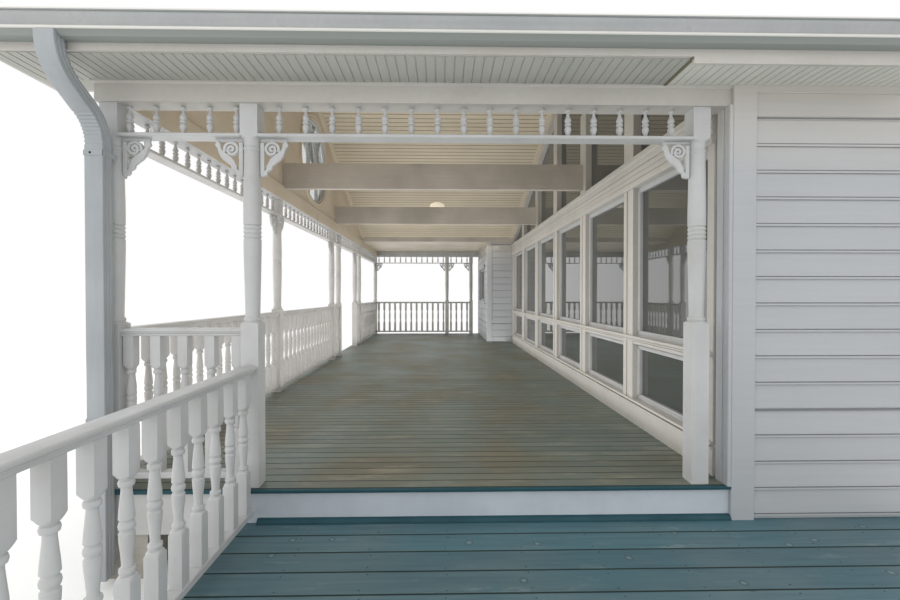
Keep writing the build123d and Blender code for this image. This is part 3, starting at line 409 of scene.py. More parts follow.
def make_finishes():
    """All finishes of the porch, by a short name."""
    c = bpy.context.scene.porch_colours
    return {
        # Posts, rails and headers: even off-white with faint grey patches and a little brush drag
        "paint": paint_over("Satin oil paint on fir, white", c.paint, "#ABABA9"),
        # Railings, friezes and posts along the side and far end: the same white, a trace warmer, with the warm bounce
        # light in the roof's shade painted in
        "warm_shade_paint": paint_over("Satin oil paint on fir, painted warm shade", "#BFBDBA", "#AEABA7"),
        # Tie beams: the posts' white drawn warmer and duller, painted shade of the beams, with long drag lines and
        # small nail stains
        "beam": paint_over(
            "Flat paint on rough fir beam", c.beam_paint_in_shade, "#8F8A83", patch=0.6, grain=(2, 30, 60), grain_share=0.2,
            worn="#6E665B", worn_at=(0.72, 0.76), worn_size=0.035, rough=0.6),
        # Ceilings: cream with slow shade changes, slightly different board by board
        "cream": paint_over("Semi-gloss cream paint on boards", c.cream, "#BBB09D", patch=0.7, mottle=0.45,
                            grain=(3, 25, 25), tints=0.05, worn_at=(0.78, 0.84)),
        # Window wall: warm satin white, cleaner than the ceiling, faint joints between its boards
        "trim": paint_over("Satin warm white paint on trim boards", c.trim, "#ADA9A2", patch=0.5, mottle=0.4,
                           grain=(20, 6, 20), worn_at=(0.78, 0.84)),
        # Upper deck: grey-green paint, scuffed through to grey wood where people walk
        "porch_floor": paint_over(
            "Worn grey-green porch paint", c.porch_floor, "#726A57", patch=0.7, mottle=0.8, grain=(2.5, 50, 50),
            grain_tone="#4B554F", grain_share=0.5, worn="#979280", worn_at=(0.52, 0.74), worn_size=0.13,
            worn_stretch=(0.3, 1, 1), worn_share=0.75, rough=0.5, tints=0.12),
        # Lower deck: blue-green stain, boards differ in depth, dark knots and pale scuffs
        "deck": paint_over(
            "Blue-green solid deck stain", c.deck_stain, "#60757A", patch=0.5, mottle=0.95, grain=(2, 38, 38),
            grain_tone="#34545E", grain_share=0.6, worn="#8E9C99", worn_at=(0.58, 0.76), worn_size=0.11,
            worn_stretch=(0.35, 1, 1), worn_share=0.6, rough=0.5, relief=0.0012, tints=0.12, knots=0.85),
        # Nosing and cove under the step: dark teal, half gloss, with pale chips along the edge
        "nosing": paint_over(
            "Dark teal floor enamel", c.nosing_paint, "#0B3541", patch=0.2, grain=(3, 60, 60), grain_tone="#2C5A66",
            worn="#7F9091", worn_at=(0.70, 0.76), worn_size=0.05, worn_stretch=(0.4, 1, 1), rough=0.6),
        # Riser of the step: the same white, painted bluer and brighter, the blue-green light bounced off the deck
        # painted in
        "riser": paint_over("Satin white paint with painted deck bounce light", "#C2CAD1", "#ABB3BA", patch=0.6),
        # Gable wall under the roof: cream, paler than the ceiling
        "gable": paint_over("Satin pale cream paint", "#D8CBB8", "#C6B8A2", patch=0.8, worn_at=(0.78, 0.84)),
        # Joints between ceiling boards: the same cream, darker, painted shade in the grooves
        "cream_shade": plain("Cream paint with painted groove shade", "#8E8370", Roughness=0.8),
        # Underside of the gutter: the enamel drawn dark grey-green, painted shade
        "gutter_under": plain("Enamel with painted shade under the gutter", "#8F9490", Roughness=0.5),
        # Beads of the gutter: the enamel drawn bright, painted highlight
        "gutter_bead": plain("Enamel with painted highlight", "#DCDAD4", Roughness=0.3),
        # Joints and edges of the deck boards: nearly black green, packed dirt and painted shade of the gaps
        "joint": plain("Packed dirt and painted shade in board joints", "#26332F", Roughness=0.9),
        # Underside and groove of each lap: dark grey, painted shade that draws the two fine lines
        "lap_shade": plain("Painted lap shade", "#77787A", Roughness=0.7),
        # Siding: satin white, a slight change from lap to lap, warmer towards the top under the eaves
        "siding": paint_over(
            "Satin white paint on lap siding", c.siding, "#A9ABAD", patch=0.8, grain=(1.5, 40, 40), tints=0.015,
            worn_at=(0.80, 0.86), turn_to=("Z", 2.35, 2.98, "#C6C1B9")),
        # Soffit: moulded vinyl, matt, nearly one tone; drawn lighter on the house's side of its joint, painted light
        "soffit": paint_over(
            "Matt grey-beige vinyl soffit", c.soffit, "#999A94", patch=0.9, grain_share=0.05, worn_at=(0.85, 0.9),
            rough=0.55, relief=0.0001, turn_to=("X", SOFFIT_JOINT_X - 0.005, SOFFIT_JOINT_X + 0.005, "#CFCFC7")),
        # Gutter: baked enamel on aluminium, smooth, cool grey with rain streaks
        "enamel": paint_over("Baked white enamel on aluminium", c.enamel, "#9A9EA0", patch=0.5, grain=(30, 30, 3),
                             grain_share=0.18, rough=0.3, relief=0.0001),
        # Downspout: the same enamel, chalked and a little bluer
        "pipe": paint_over("Chalked white enamel on aluminium", "#A2A7AB", "#8F9599", patch=0.4, grain=(30, 30, 3),
                           grain_share=0.25, worn_at=(0.80, 0.86), rough=0.4, relief=0.0001),
        # Framing below the decks: bare brown timber with open grain
        "timber": paint_over(
            "Weathered framing timber", c.timber, "#7F6A50", grain=(3, 50, 50), grain_tone="#4F4030",
            grain_share=0.5, worn_at=(0.70, 0.76), rough=0.75, tints=0.1, relief=0.001),
        # Piers: pale cast concrete, pitted and water-stained
        "concrete": paint_over("Cast concrete, bare", c.concrete, "#8B887F", patch=0.15, grain=(60, 60, 60),
                               grain_share=0.35, worn="#6F6C64", worn_at=(0.64, 0.7), rough=0.85, relief=0.001),
        # Shingles: mineral granules (1 mm ones drawn 4 mm wide, so that they still show), tab by tab
        "shingle": paint_over(
            "Dark blue-grey mineral shingles", c.shingle, "#383F48", patch=0.5, grain=(250, 250, 250),
            grain_tone="#79828C", grain_share=0.6, worn_at=(0.8, 0.9), rough=0.9, relief=0.001, tints=0.16),
        # Joint strip of the eaves: old dull olive metal line
        "olive": plain("Dull olive painted metal", "#6F6B55", Roughness=0.6),
        # Room walls: plain dim plaster, so that the windows look deep and dark
        "plaster": plain("Flat plaster in shade", "#97948D", Roughness=0.9),
        # Window glass: dark, mirror-like at a glancing angle, little seen through it
        # (four faces of a double pane reflect, drawn as one face with a higher index)
        "glass": plain("Clear double glazing, dark behind", c.glass, Roughness=0.02, IOR=2.4,
                       Transmission_Weight=0.7),
        # Oval window: clear single pane, the light beyond shows through
        "clear_glass": plain("Clear single window pane", "#E6EBEC", Roughness=0.01, IOR=1.45,
                             Transmission_Weight=1.0),
        # Lamp bowl: milky glass that lets soft light through
        "lamp": plain("Opal lamp glass", "#F6EEDC", Roughness=0.3, Subsurface_Weight=0.2,
                      Emission_Color=(1.0, 0.86, 0.62, 1.0), Emission_Strength=0.25),
        # Screw heads: steel gone dark, nearly lost in the stain
        "screw": plain("Dark weathered steel", "#3A4243", Roughness=0.6, Metallic=1.0),
    }


FINISHES = {}
SIDING = "siding lap_shade"
# Nodes along the side and the far end, whose white carries painted warm shade
WARM_SHADED_NODES = ("side_posts", "far_posts", "side_frieze", "far_frieze", "side_railing", "far_railing")


def white(node):
    """The white that a turned piece is painted in, with painted warm shade along the side and far end."""
    return "warm_shade_paint" if node in WARM_SHADED_NODES else "paint"


def rows(count, *numbers):
    """Rows of a table, each of count numbers: millimetres as metres, or thousandths as shares."""
    return [tuple(n / 1000 for n in numbers[i : i + count]) for i in range(0, len(numbers), count)]


# Turned work: height as a share of the cut, and radius as a share of half the square stock
FULL = 1.42
POST_CUT = rows(
    2, 0, 1240, 4, 1040, 8, 900, 11, 940, 19, 985, 27, 940, 30, 840, 36, 810, 70, 820, 140, 850, 240, 900, 340, 950,
    420, 980, 455, 985, 458, 880, 461, 880, 464, 960, 471, 1000, 478, 960, 481, 890, 484, 890, 487, 960, 494, 1000,
    501, 960, 504, 890, 507, 890, 510, 960, 517, 1000, 524, 960, 527, 880, 530, 880, 533, 985, 580, 995, 660, 980,
    760, 940, 860, 900, 926, 880, 931, 860, 935, 930, 942, 970, 949, 930, 953, 860, 960, 860, 975, 890, 988, 940,
    994, 1040, 1000, 1240,
)
BALUSTER_CUT = rows(
    2, 0, 1420, 292, 1420, 306, 1120, 314, 950, 318, 720, 324, 720, 329, 900, 338, 940, 347, 900, 352, 640, 375, 640,
    420, 740, 470, 880, 506, 920, 514, 760, 521, 760, 527, 900, 540, 970, 553, 900, 559, 760, 566, 760, 574, 920,
    610, 870, 660, 730, 700, 630, 718, 620, 723, 860, 736, 940, 748, 860, 752, 720, 757, 720, 762, 950, 770, 1120,
    784, 1420, 1000, 1420,
)
SPINDLE_CUT = rows(
    2, 0, 500, 60, 500, 130, 600, 210, 880, 280, 1000, 340, 920, 385, 620, 400, 600, 412, 880, 450, 1000, 488, 880,
    500, 600, 518, 620, 560, 920, 605, 980, 670, 760, 760, 440, 840, 380, 865, 420, 878, 760, 915, 940, 952, 760,
    965, 520, 1000, 520,
)
# Half the hand rail's section, out from its middle and up
HAND_RAIL = rows(
    2, 28, 0, 32, 4, 32, 12, 39, 17, 42, 22, 40.5, 23.5, 40.5, 26.5, 45, 29, 45, 38, 41, 43, 30, 45.5, 0, 46,
)


class PORCH_OT_posts(bpy.types.Operator):
    """Turns the posts: square foot and head, three middle beads and a ring under the head"""

    bl_idname = "porch.posts"
    bl_label = "Turned posts"

    def execute(self, context):
        s = sizes()
        foot, head = s.post_base_block, s.post_top_block
        for node in ("corner_post", "front_post", "wall_post", "side_posts", "far_posts"):
            shape = Shape()
            for low, high in solids(node):
                height = high.z - low.z
                outline = [(0.0, FULL), (foot - 0.006, FULL), (foot - 0.002, 1.34)]
                outline += [(foot + (height - foot - head) * t, share) for t, share in POST_CUT]
                outline += [(height - head + 0.012, FULL), (height, FULL)]
                centre = ((low.x + high.x) / 2, (low.y + high.y) / 2, low.z)
                shape.turned(centre, outline, (high.x - low.x) / 2, 32)
            stand_in(node, shape, white(node))
        return {"FINISHED"}


class PORCH_OT_friezes(bpy.types.Operator):
    """Hangs turned spindles between the header and a flat rail"""

    bl_idname = "porch.friezes"
    bl_label = "Spindle friezes"

    def execute(self, context):
        s = sizes()
        for node, sides in (("near_frieze", 24), ("side_frieze", 16), ("far_frieze", 16)):
            shape = Shape()
            for low, high in solids(node):
                axis, start, end, middle = on_run(low, high)
                rail_top = low.z + s.frieze_rail
                half = (high[1 - axis] - low[1 - axis]) / 2
                shape.board(at(axis, start, middle - half, low.z), at(axis, end, middle + half, rail_top), axis, 0.004)
                outline = [((high.z - rail_top) * t, share) for t, share in SPINDLE_CUT]
                for along in spread(end - start, s.spindle_pitch, s.spindle_margin):
                    shape.turned(at(axis, start + along, middle, rail_top), outline, s.spindle_radius, sides)
            stand_in(node, shape, white(node))
        return {"FINISHED"}


# A bracket's arm, out from the post and down from the rail, with half the sawn width
BRACKET_ARM = rows(
    3, 150, 12, 8, 149, 22, 9, 147, 36, 16.5, 141, 50, 11.5, 136, 66, 11, 124, 86, 16, 105, 107, 21, 84, 124, 20.5,
    67, 141, 18.5, 57, 156, 14.5, 51, 171, 17.5, 43, 184, 9, 34, 193, 9, 27, 206, 14.5, 22, 219, 6,
)
SCROLL_CENTRE = (0.070, 0.062)
# The scroll's centre line: turn in degrees from where it leaves the arm, and reach from its centre
SCROLL_LINE = (
    (0, 0.0385), (110, 0.0380), (200, 0.0370), (290, 0.0300), (380, 0.0180), (470, 0.0150), (560, 0.0125),
    (640, 0.0080), (700, 0.0030),
)
BRACKET_LENGTH = 0.222
BRACKET_REACH = 0.160
BRACKET_HALF = 0.011
# Each part of a bracket is this much thinner than the last, so that no two faces lie in one plane
BRACKET_STEP = 0.0007
LONG_PANEL = 0.5


def scroll_line(width):
    """A ring that curls inwards to its centre, as points with half the sawn width."""
    line = []
    for (turn_a, reach_a), (turn_b, reach_b) in pairwise(SCROLL_LINE):
        count = (turn_b - turn_a) // 8
        for i in range(count):
            share = i / count
            reach = reach_a + (reach_b - reach_a) * share
            angle = radians(25.0 - turn_a - (turn_b - turn_a) * share)
            line.append((SCROLL_CENTRE[0] + reach * cos(angle), SCROLL_CENTRE[1] + reach * sin(angle), width))
    return line


class PORCH_OT_brackets(bpy.types.Operator):
    """Saws the scroll brackets that sit under the frieze rail at each post"""

    bl_idname = "porch.brackets"
    bl_label = "Scroll brackets"

    def execute(self, context):
        s = sizes()
        bar = s.bracket_bar
        rail = bar * 0.35
        parts = (
            (smoothed(BRACKET_ARM, 4), 1),
            (scroll_line(s.bracket_scroll), 0),
            ([(0.0, rail, rail), (BRACKET_REACH, rail, rail)], 3),
            ([(bar / 2, bar, bar / 2), (bar / 2, BRACKET_LENGTH - 0.012, bar / 2),
              (bar / 2, BRACKET_LENGTH, bar / 3)], 2),
        )
        for side in ("near", "side", "far"):
            shape = Shape()
            for low, high in solids(side + "_frieze"):
                axis, start, end, middle = on_run(low, high)
                if end - start < LONG_PANEL:
                    continue
                for face, way in ((start, 1), (end, -1)):
                    for line, thinner in parts:
                        shape.band(line, BRACKET_HALF - BRACKET_STEP * thinner,
                                   lambda x, out, z: at(axis, face + way * x, middle + out, low.z - z))
            stand_in(side + "_brackets", shape, "paint")
        return {"FINISHED"}


class PORCH_OT_railings(bpy.types.Operator):
    """Sets turned balusters between a moulded hand rail and a foot rail"""

    bl_idname = "porch.railings"
    bl_label = "Railings"

    def execute(self, context):
        s = sizes()
        rail = HAND_RAIL + [(-out, up) for out, up in reversed(HAND_RAIL)][1:]
        half = s.foot_rail_width / 2
        for node, sides in (("near_railing", 32), ("lower_railing", 24), ("side_railing", 16), ("far_railing", 16)):
            shape = Shape()
            for low, high in solids(node):
                axis, start, end, middle = on_run(low, high)
                rail_low = high.z - s.hand_rail_height
                foot_top = low.z + s.foot_rail_height
                shape.sweep(rail, lambda along, out, up: at(axis, along, middle + out, rail_low + up), start, end)
                shape.board(at(axis, start, middle - half, low.z), at(axis, end, middle + half, foot_top), axis, 0.004)
                outline = [((rail_low - foot_top) * t, share) for t, share in BALUSTER_CUT]
                span = end - start
                if node == "lower_railing":
                    span -= HEADER_HIGH.y - POST_HIGH.y - 0.003
                for along in spread(span, s.baluster_pitch, s.baluster_margin):
                    shape.turned(at(axis, start + along, middle, foot_top), outline, s.baluster_half, sides)
            stand_in(node, shape, white(node))

        low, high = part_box("lower_newel")
        x, y = ((low + high) / 2).xy
        shape = Shape()
        cap = high.z - 0.045
        post_half = (POST_HIGH.x - POST_LOW.x) / 2
        for a, b, reach in ((low.z, cap, post_half), (cap, cap + 0.012, 0.060), (cap + 0.012, cap + 0.034, 0.065),
                            (cap + 0.034, cap + 0.040, 0.056)):
            shape.board((x - reach, y - reach, a), (x + reach, y + reach, b), 2, 0.004)
        shape.turned((x, y, cap + 0.040), [(0.0, FULL), (0.005, 0.3)], 0.048, 16)
        stand_in("lower_newel", shape, "paint")
        return {"FINISHED"}


class PORCH_OT_decks(bpy.types.Operator):
    """Lays the boards of both decks and the nosing along the upper one's edge"""

    bl_idname = "porch.decks"
    bl_label = "Deck boards"

    def execute(self, context):
        s = sizes()
        gap = s.board_gap / 2
        # The upper deck's boards are laid closer and their edges are softer
        closer = 0.7
        nose = 0.028
        x, y, z = DECK_LOW
        end_x, end_y, top = DECK_HIGH
        shape = Shape()
        for low_y, high_y, reach in ((y + nose, WING_LOW.y, end_x), (WING_LOW.y, end_y, WING_FACE)):
            for a, b in pairwise(even(low_y, high_y, s.upper_board)):
                shape.board((x + nose, a + gap * closer, z), (reach, b - gap * closer, top), 0,
                            s.board_ease * closer, mark=2)
        shape.board((x, y, top - s.nosing), (end_x, y + nose, top), 0, 0.005, 1)
        shape.board((x, y + nose, top - s.nosing), (x + nose, end_y, top), 1, 0.005, 1)
        piece("porch_boards", shape, "porch_floor nosing joint", ("upper_deck_floor",))

        shape = Shape()
        for a, b in pairwise(even(LOWER_LOW.y, LOWER_HIGH.y, s.lower_board)):
            shape.board((LOWER_LOW.x, a + gap, LOWER_LOW.z), (LOWER_HIGH.x, b - gap, LOWER_TOP), 0,
                        s.board_ease, mark=1)
        piece("lower_deck_boards", shape, "deck joint", ("lower_deck_floor",))
        return {"FINISHED"}


class PORCH_OT_screws(bpy.types.Operator):
    """Drives two screws through each board of the lower deck at each joist"""

    bl_idname = "porch.screws"
    bl_label = "Deck screws"

    def execute(self, context):
        s = sizes()
        chance = random.Random(3)
        shape = Shape()
        for a, b in pairwise(even(LOWER_LOW.y, LOWER_HIGH.y, s.lower_board)):
            for x in even(LOWER_LOW.x + 0.065, LOWER_HIGH.x - 0.045, s.joist_pitch):
                for y in (a + 0.028, b - 0.028):
                    place = (x + chance.uniform(-0.012, 0.012), y + chance.uniform(-0.008, 0.008), LOWER_TOP - 0.003)
                    shape.turned(place, [(0.0, 1.0), (0.0034, 1.0)], s.screw_head * chance.uniform(0.7, 1.0), 8)
        piece("deck_screws", shape, "screw")
        return {"FINISHED"}


# A siding lap up to its face: underside, moulded lower edge and groove
LAP_FOOT = rows(2, 0, 0, 12.5, 0, 14.5, 2, 14.5, 12.5, 9.5, 15, 9.5, 17.5, 12.5, 19.5)
# Sides of a whole lap that take painted shade: its underside and its groove
LAP_SHADE = {0: 1, 3: 1, 4: 1}
# The first lap's foot above the lower deck, and the siding's foot above the ground
FIRST_LAP = 0.017
SIDING_FOOT = 0.06
# Least height and length of a strip of siding that is worth cutting
LEAST_STRIP = 0.004


def cut_flat(section, height, keep_above):
    """Cuts a section by a level line and keeps the part above or below it."""
    kept = []
    for i, (out, up) in enumerate(section):
        last_out, last_up = section[i - 1]
        inside, last_inside = [z >= height if keep_above else z <= height for z in (up, last_up)]
        if inside != last_inside:
            share = (height - last_up) / (up - last_up)
            kept.append((last_out + share * (out - last_out), height))
        if inside:
            kept.append((out, up))
    return kept


def lay_laps(shape, place, ends, low, high, first, pitch, hole=None):
    """Siding laps on a wall face; ends gives their start and end at a height, and so does a hole's last part."""
    whole = [*LAP_FOOT, (0.003, pitch), (0.0, pitch)]
    lap = first - pitch
    while lap < high:
        lines = [max(lap, low), min(lap + pitch, high)]
        lines = sorted(lines + [z for z in (hole or ())[:2] if lines[0] < z < lines[1]])
        for a, b in pairwise(lines):
            if b - a < LEAST_STRIP:
                continue
            section = cut_flat(cut_flat(whole, a - lap, True), b - lap, False)
            marks = LAP_SHADE if len(section) == len(whole) else None
            section = [(out, lap + up) for out, up in section]
            spans = [ends]
            if hole and hole[0] - 1e-6 <= a and b <= hole[1] + 1e-6:
                spans = [lambda z: (ends(z)[0], hole[2](z)[0]), lambda z: (hole[2](z)[1], ends(z)[1])]
            for span in spans:
                if min(span(z)[1] - span(z)[0] for out, z in section) > LEAST_STRIP:
                    shape.skin([[place(span(z)[side], out, z) for out, z in section] for side in (0, 1)], marks=marks)
        lap += pitch


def oval_point(turn, beyond):
    """A point on the oval window's opening, moved outwards by a distance."""
    (y, z), (half_y, half_z) = OVAL_CENTRE, OVAL_HALF
    ny, nz = cos(turn) / half_y, sin(turn) / half_z
    run = hypot(ny, nz)
    return y + half_y * cos(turn) + beyond * ny / run, z + half_z * sin(turn) + beyond * nz / run


def oval_limits(z):
    """Where the oval opening starts and ends at a height."""
    reach = OVAL_HALF[0] * sqrt(max(0.0, 1 - ((z - OVAL_CENTRE[1]) / OVAL_HALF[1]) ** 2))
    return OVAL_CENTRE[0] - reach, OVAL_CENTRE[0] + reach


def gable_limits(z):
    """Where the gable wall starts and ends at a height."""
    reach = min((CEILING_HIGH.z - 0.02 - z) / ROOF_RISE, RIDGE_Y - GABLE_LOW.y)
    return RIDGE_Y - reach, RIDGE_Y + min(reach, GABLE_HIGH.y - RIDGE_Y)


class PORCH_OT_siding(bpy.types.Operator):
    """Lays lap siding with moulded edges on the house walls and the gable, and trims its corners"""

    bl_idname = "porch.siding"
    bl_label = "Lap siding"

    def execute(self, context):
        s = sizes()
        first = LOWER_TOP + FIRST_LAP
        near_low, near_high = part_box("near_siding_wall")
        corner_low, corner_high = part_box("corner_board")
        face, left, right = near_low.y, corner_high.x, near_high.x
        siding_top = SOFFIT_LOW.z - 0.045
        shape = Shape()
        for low, high, foot in (
            (LOWER_TOP + 0.004, siding_top, first), (SIDING_FOOT, LOWER_LOW.z - 0.15, SIDING_FOOT),
        ):
            lay_laps(shape, lambda a, out, z: (a, face - out, z), lambda z: (left, right), low, high, foot, s.lap)
        shape.board((left, face - 0.016, siding_top), (right, face, SOFFIT_LOW.z - 0.001))
        piece("near_siding", shape, SIDING)

        # The wing: laps on three sides, corner boards, and a cased window
        casing = s.casing + 0.02
        low, high = next(box for box in solids("window_sashes") if box[0].x < WALL_FACE - 0.1)
        near, far = WING_LOW.y, WING_HIGH.y
        corner, proud = 0.09, 0.022
        foot, top = DECK_TOP + 0.02, HEADER_LOW.z + 0.15
        shape = Shape()
        lay_laps(shape, lambda a, out, z: (WING_FACE - out, a, z), lambda z: (near + corner, far - corner),
                 foot, top, first, s.lap, (low.z, high.z, lambda z: (low.y, high.y)))
        lay_laps(shape, lambda a, out, z: (a, near - out, z), lambda z: (WING_FACE + corner, WALL_FACE - 0.03),
                 foot, top - 0.01, first, s.lap)
        lay_laps(shape, lambda a, out, z: (a, far + out, z), lambda z: (WING_FACE + corner, right),
                 SIDING_FOOT, siding_top, first, s.lap)
        for reach, a, b in ((corner, near - proud, near), (0.0, near, near + corner), (0.0, far - corner, far),
                            (corner, far, far + proud)):
            shape.board((WING_FACE - proud, a, DECK_TOP), (WING_FACE + reach, b, top), 2)
        start, end, sill, head = low.y - casing, high.y + casing, low.z - 0.03, high.z + casing
        for a, b, c, d, out, along in (
            (start, low.y, sill, head, proud, 2), (high.y, end, sill, head, proud, 2),
            (start, end, high.z, head, proud, 1), (start, end, sill - 0.06, sill, proud, 1),
            (start - 0.02, end + 0.02, sill, low.z, 0.045, 1),
        ):
            shape.board((WING_FACE - out, a, c), (WING_FACE, b, d), along)
        piece("wing_siding", shape, SIDING)

        shape = Shape()
        foot = GABLE_LOW.z + 0.01
        lay_laps(shape, lambda a, out, z: (GABLE_LOW.x - out, a, z), gable_limits, foot, GABLE_HIGH.z - 0.1, foot,
                 s.lap / 2, (OVAL_CENTRE[1] - OVAL_HALF[1], OVAL_CENTRE[1] + OVAL_HALF[1], oval_limits))
        piece("gable_siding", shape, SIDING)

        shape = Shape()
        shape.board(corner_low, corner_high, 2, 0.003)
        for a, b, out in ((corner_low.y, face + 0.018, proud), (face + 0.024, face + 0.040, 0.018),
                          (face + 0.044, 0.035, proud)):
            shape.board((corner_low.x - out, a, DECK_TOP), (corner_low.x, b, HEADER_LOW.z), 2, 0.004)
        stand_in("corner_board", shape, "siding")
        return {"FINISHED"}


def vault_under(y):
    """Height of the vault's underside."""
    return CEILING_LOW.z + ROOF_RISE * (RIDGE_Y - abs(y - RIDGE_Y) - CEILING_LOW.y)


def along_vault(shape, x0, x1, start, end, drop, depth):
    """A bar that runs up the vault's slope, its first face some way under the vault."""
    section = ((x0, drop), (x1, drop), (x1, drop + depth), (x0, drop + depth))
    shape.skin([[(x, y, vault_under(y) - down) for x, down in section] for y in (start, end)])


class PORCH_OT_ceilings(bpy.types.Operator):
    """Boards the vault and the flat ceiling, with a trim board along each end of the vault"""

    bl_idname = "porch.ceilings"
    bl_label = "Ceiling boards"

    def execute(self, context):
        s = sizes()
        thick, groove, joint, seat = 0.010, 0.006, 0.0005, 0.0002
        left, right = CEILING_LOW.x, CEILING_HIGH.x
        slope_board = s.ceiling_board * cos(atan2(ROOF_RISE, 1.0))
        shape = Shape()
        for start, end in ((CEILING_LOW.y, RIDGE_Y), (RIDGE_Y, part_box("far_ceiling")[1].y)):
            for a, b in pairwise(even(start, end, slope_board)):
                section = [
                    (a + joint, vault_under(a) - seat), (a + joint, vault_under(a) - thick + groove),
                    (a + groove, vault_under(a + groove) - thick), (b - groove, vault_under(b - groove) - thick),
                    (b - joint, vault_under(b) - thick + groove), (b - joint, vault_under(b) - seat),
                ]
                # The sides and chamfers of each board's groove take the painted groove shade
                shape.sweep(section, lambda x, y, z: (x, y, z), left, right, {0: 1, 1: 1, 3: 1, 4: 1})
            for low_x, high_x in ((left, left + 0.075), (right - 0.085, right)):
                for inset, depth in ((0.0, 0.020), (0.012, 0.026)):
                    along_vault(shape, low_x + inset, high_x - inset, start + 0.002, end - 0.002, 0.004, depth)
        low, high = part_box("flat_ceiling")
        for a, b in pairwise(even(low.y, high.y, s.ceiling_board)):
            shape.board((low.x, a + 0.001, low.z - thick), (high.x, b - 0.001, low.z - seat))
        piece("ceiling_boards", shape, "cream cream_shade")
        return {"FINISHED"}


class PORCH_OT_eaves(bpy.types.Operator):
    """Fits ribbed soffit panels, their joint strip, the bed moulding and a cream sheet of painted warm shade on the
    side header
    """

    bl_idname = "porch.eaves"
    bl_label = "Soffit and trim"

    def execute(self, context):
        s = sizes()
        under = SOFFIT_LOW.z
        rib = 0.004
        near, far, side = HEADER_LOW.y, FAR_HEADER_HIGH.y, HEADER_LOW.x
        shape = Shape()
        for start, end, low, high, axis in (
            (SOFFIT_LOW.x, SOFFIT_HIGH.x, SOFFIT_LOW.y, near, 0), (LOW_EAVE_Y, far, SOFFIT_LOW.x, side, 1),
            (SOFFIT_LOW.x, SOFFIT_HIGH.x, far, SOFFIT_HIGH.y, 0),
        ):
            for a, b in pairwise(even(start, end, s.soffit_rib)):
                shape.board(at(axis, a + 0.002, low, under - rib), at(axis, b - 0.002, high, under - 0.0002), 1 - axis)
        piece("soffit_panels", shape, "soffit")

        shape = Shape()
        shape.board((SOFFIT_JOINT_X - 0.010, SOFFIT_LOW.y - 0.018, under - 0.010),
                    (SOFFIT_JOINT_X + 0.010, near, under - 0.001), 1)
        piece("soffit_joint", shape, "olive")

        cove = rows(2, 0, 0, 4, 0, 6, 4, 14, 10, 14, 16, 0, 16)
        z = under - 0.016 - rib
        shape = Shape()
        shape.sweep(cove, lambda a, out, up: (a, near - out, z + up), side - 0.014, HEADER_HIGH.x)
        shape.sweep(cove, lambda a, out, up: (side - out, a, z + up), near, far)
        shape.sweep(cove, lambda a, out, up: (a, far + out, z + up), side, FAR_HEADER_HIGH.x)
        piece("bed_moulding", shape, "trim")

        # A thin cream sheet on the side header's inner face: painted warm bounce light on its white
        low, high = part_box("side_header")
        shape = Shape()
        shape.board((high.x, HEADER_HIGH.y, low.z), (high.x + 0.004, FAR_HEADER_LOW.y, high.z - 0.001), 1, 0.0015)
        piece("header_warm_shade_sheet", shape, "gable")
        return {"FINISHED"}


# The gutter's front, out from the fascia and up from its bottom: flat base, lower bead, hollow, belly, top bead
GUTTER_FRONT = rows(
    2, 0, 10, 58, 10, 84, 28, 89, 29, 95, 32, 97, 37, 94, 42, 86, 44, 81, 47, 82, 54, 91, 66, 101, 77, 108, 86,
    112, 94, 113, 98, 121, 99, 126, 102, 127, 106, 124, 110, 112, 110, 112, 106,
)
GUTTER_BELLY = slice(8, 14)
# Painted shade on its underside and under the top bead, and a painted highlight on its two beads
GUTTER_SHADE_AND_HIGHLIGHT = {**dict.fromkeys((0, 1, 2, 14), 1), **dict.fromkeys((3, 4, 5, 6, 16, 17), 2)}
# Half of the downspout's section, with two shallow ribs on the side
PIPE_SECTION = rows(
    2, -51, -33, -49.5, -36.5, -46, -38, 46, -38, 49.5, -36.5, 51, -33, 51, -20, 48.5, -16, 48.5, -8, 51, -4,
    51, 4, 48.5, 8, 48.5, 16, 51, 20,
)
OUTLET_Y = -0.440
PIPE_Y = -0.129
BEND_RINGS = 19
BEND_REACH = 0.12


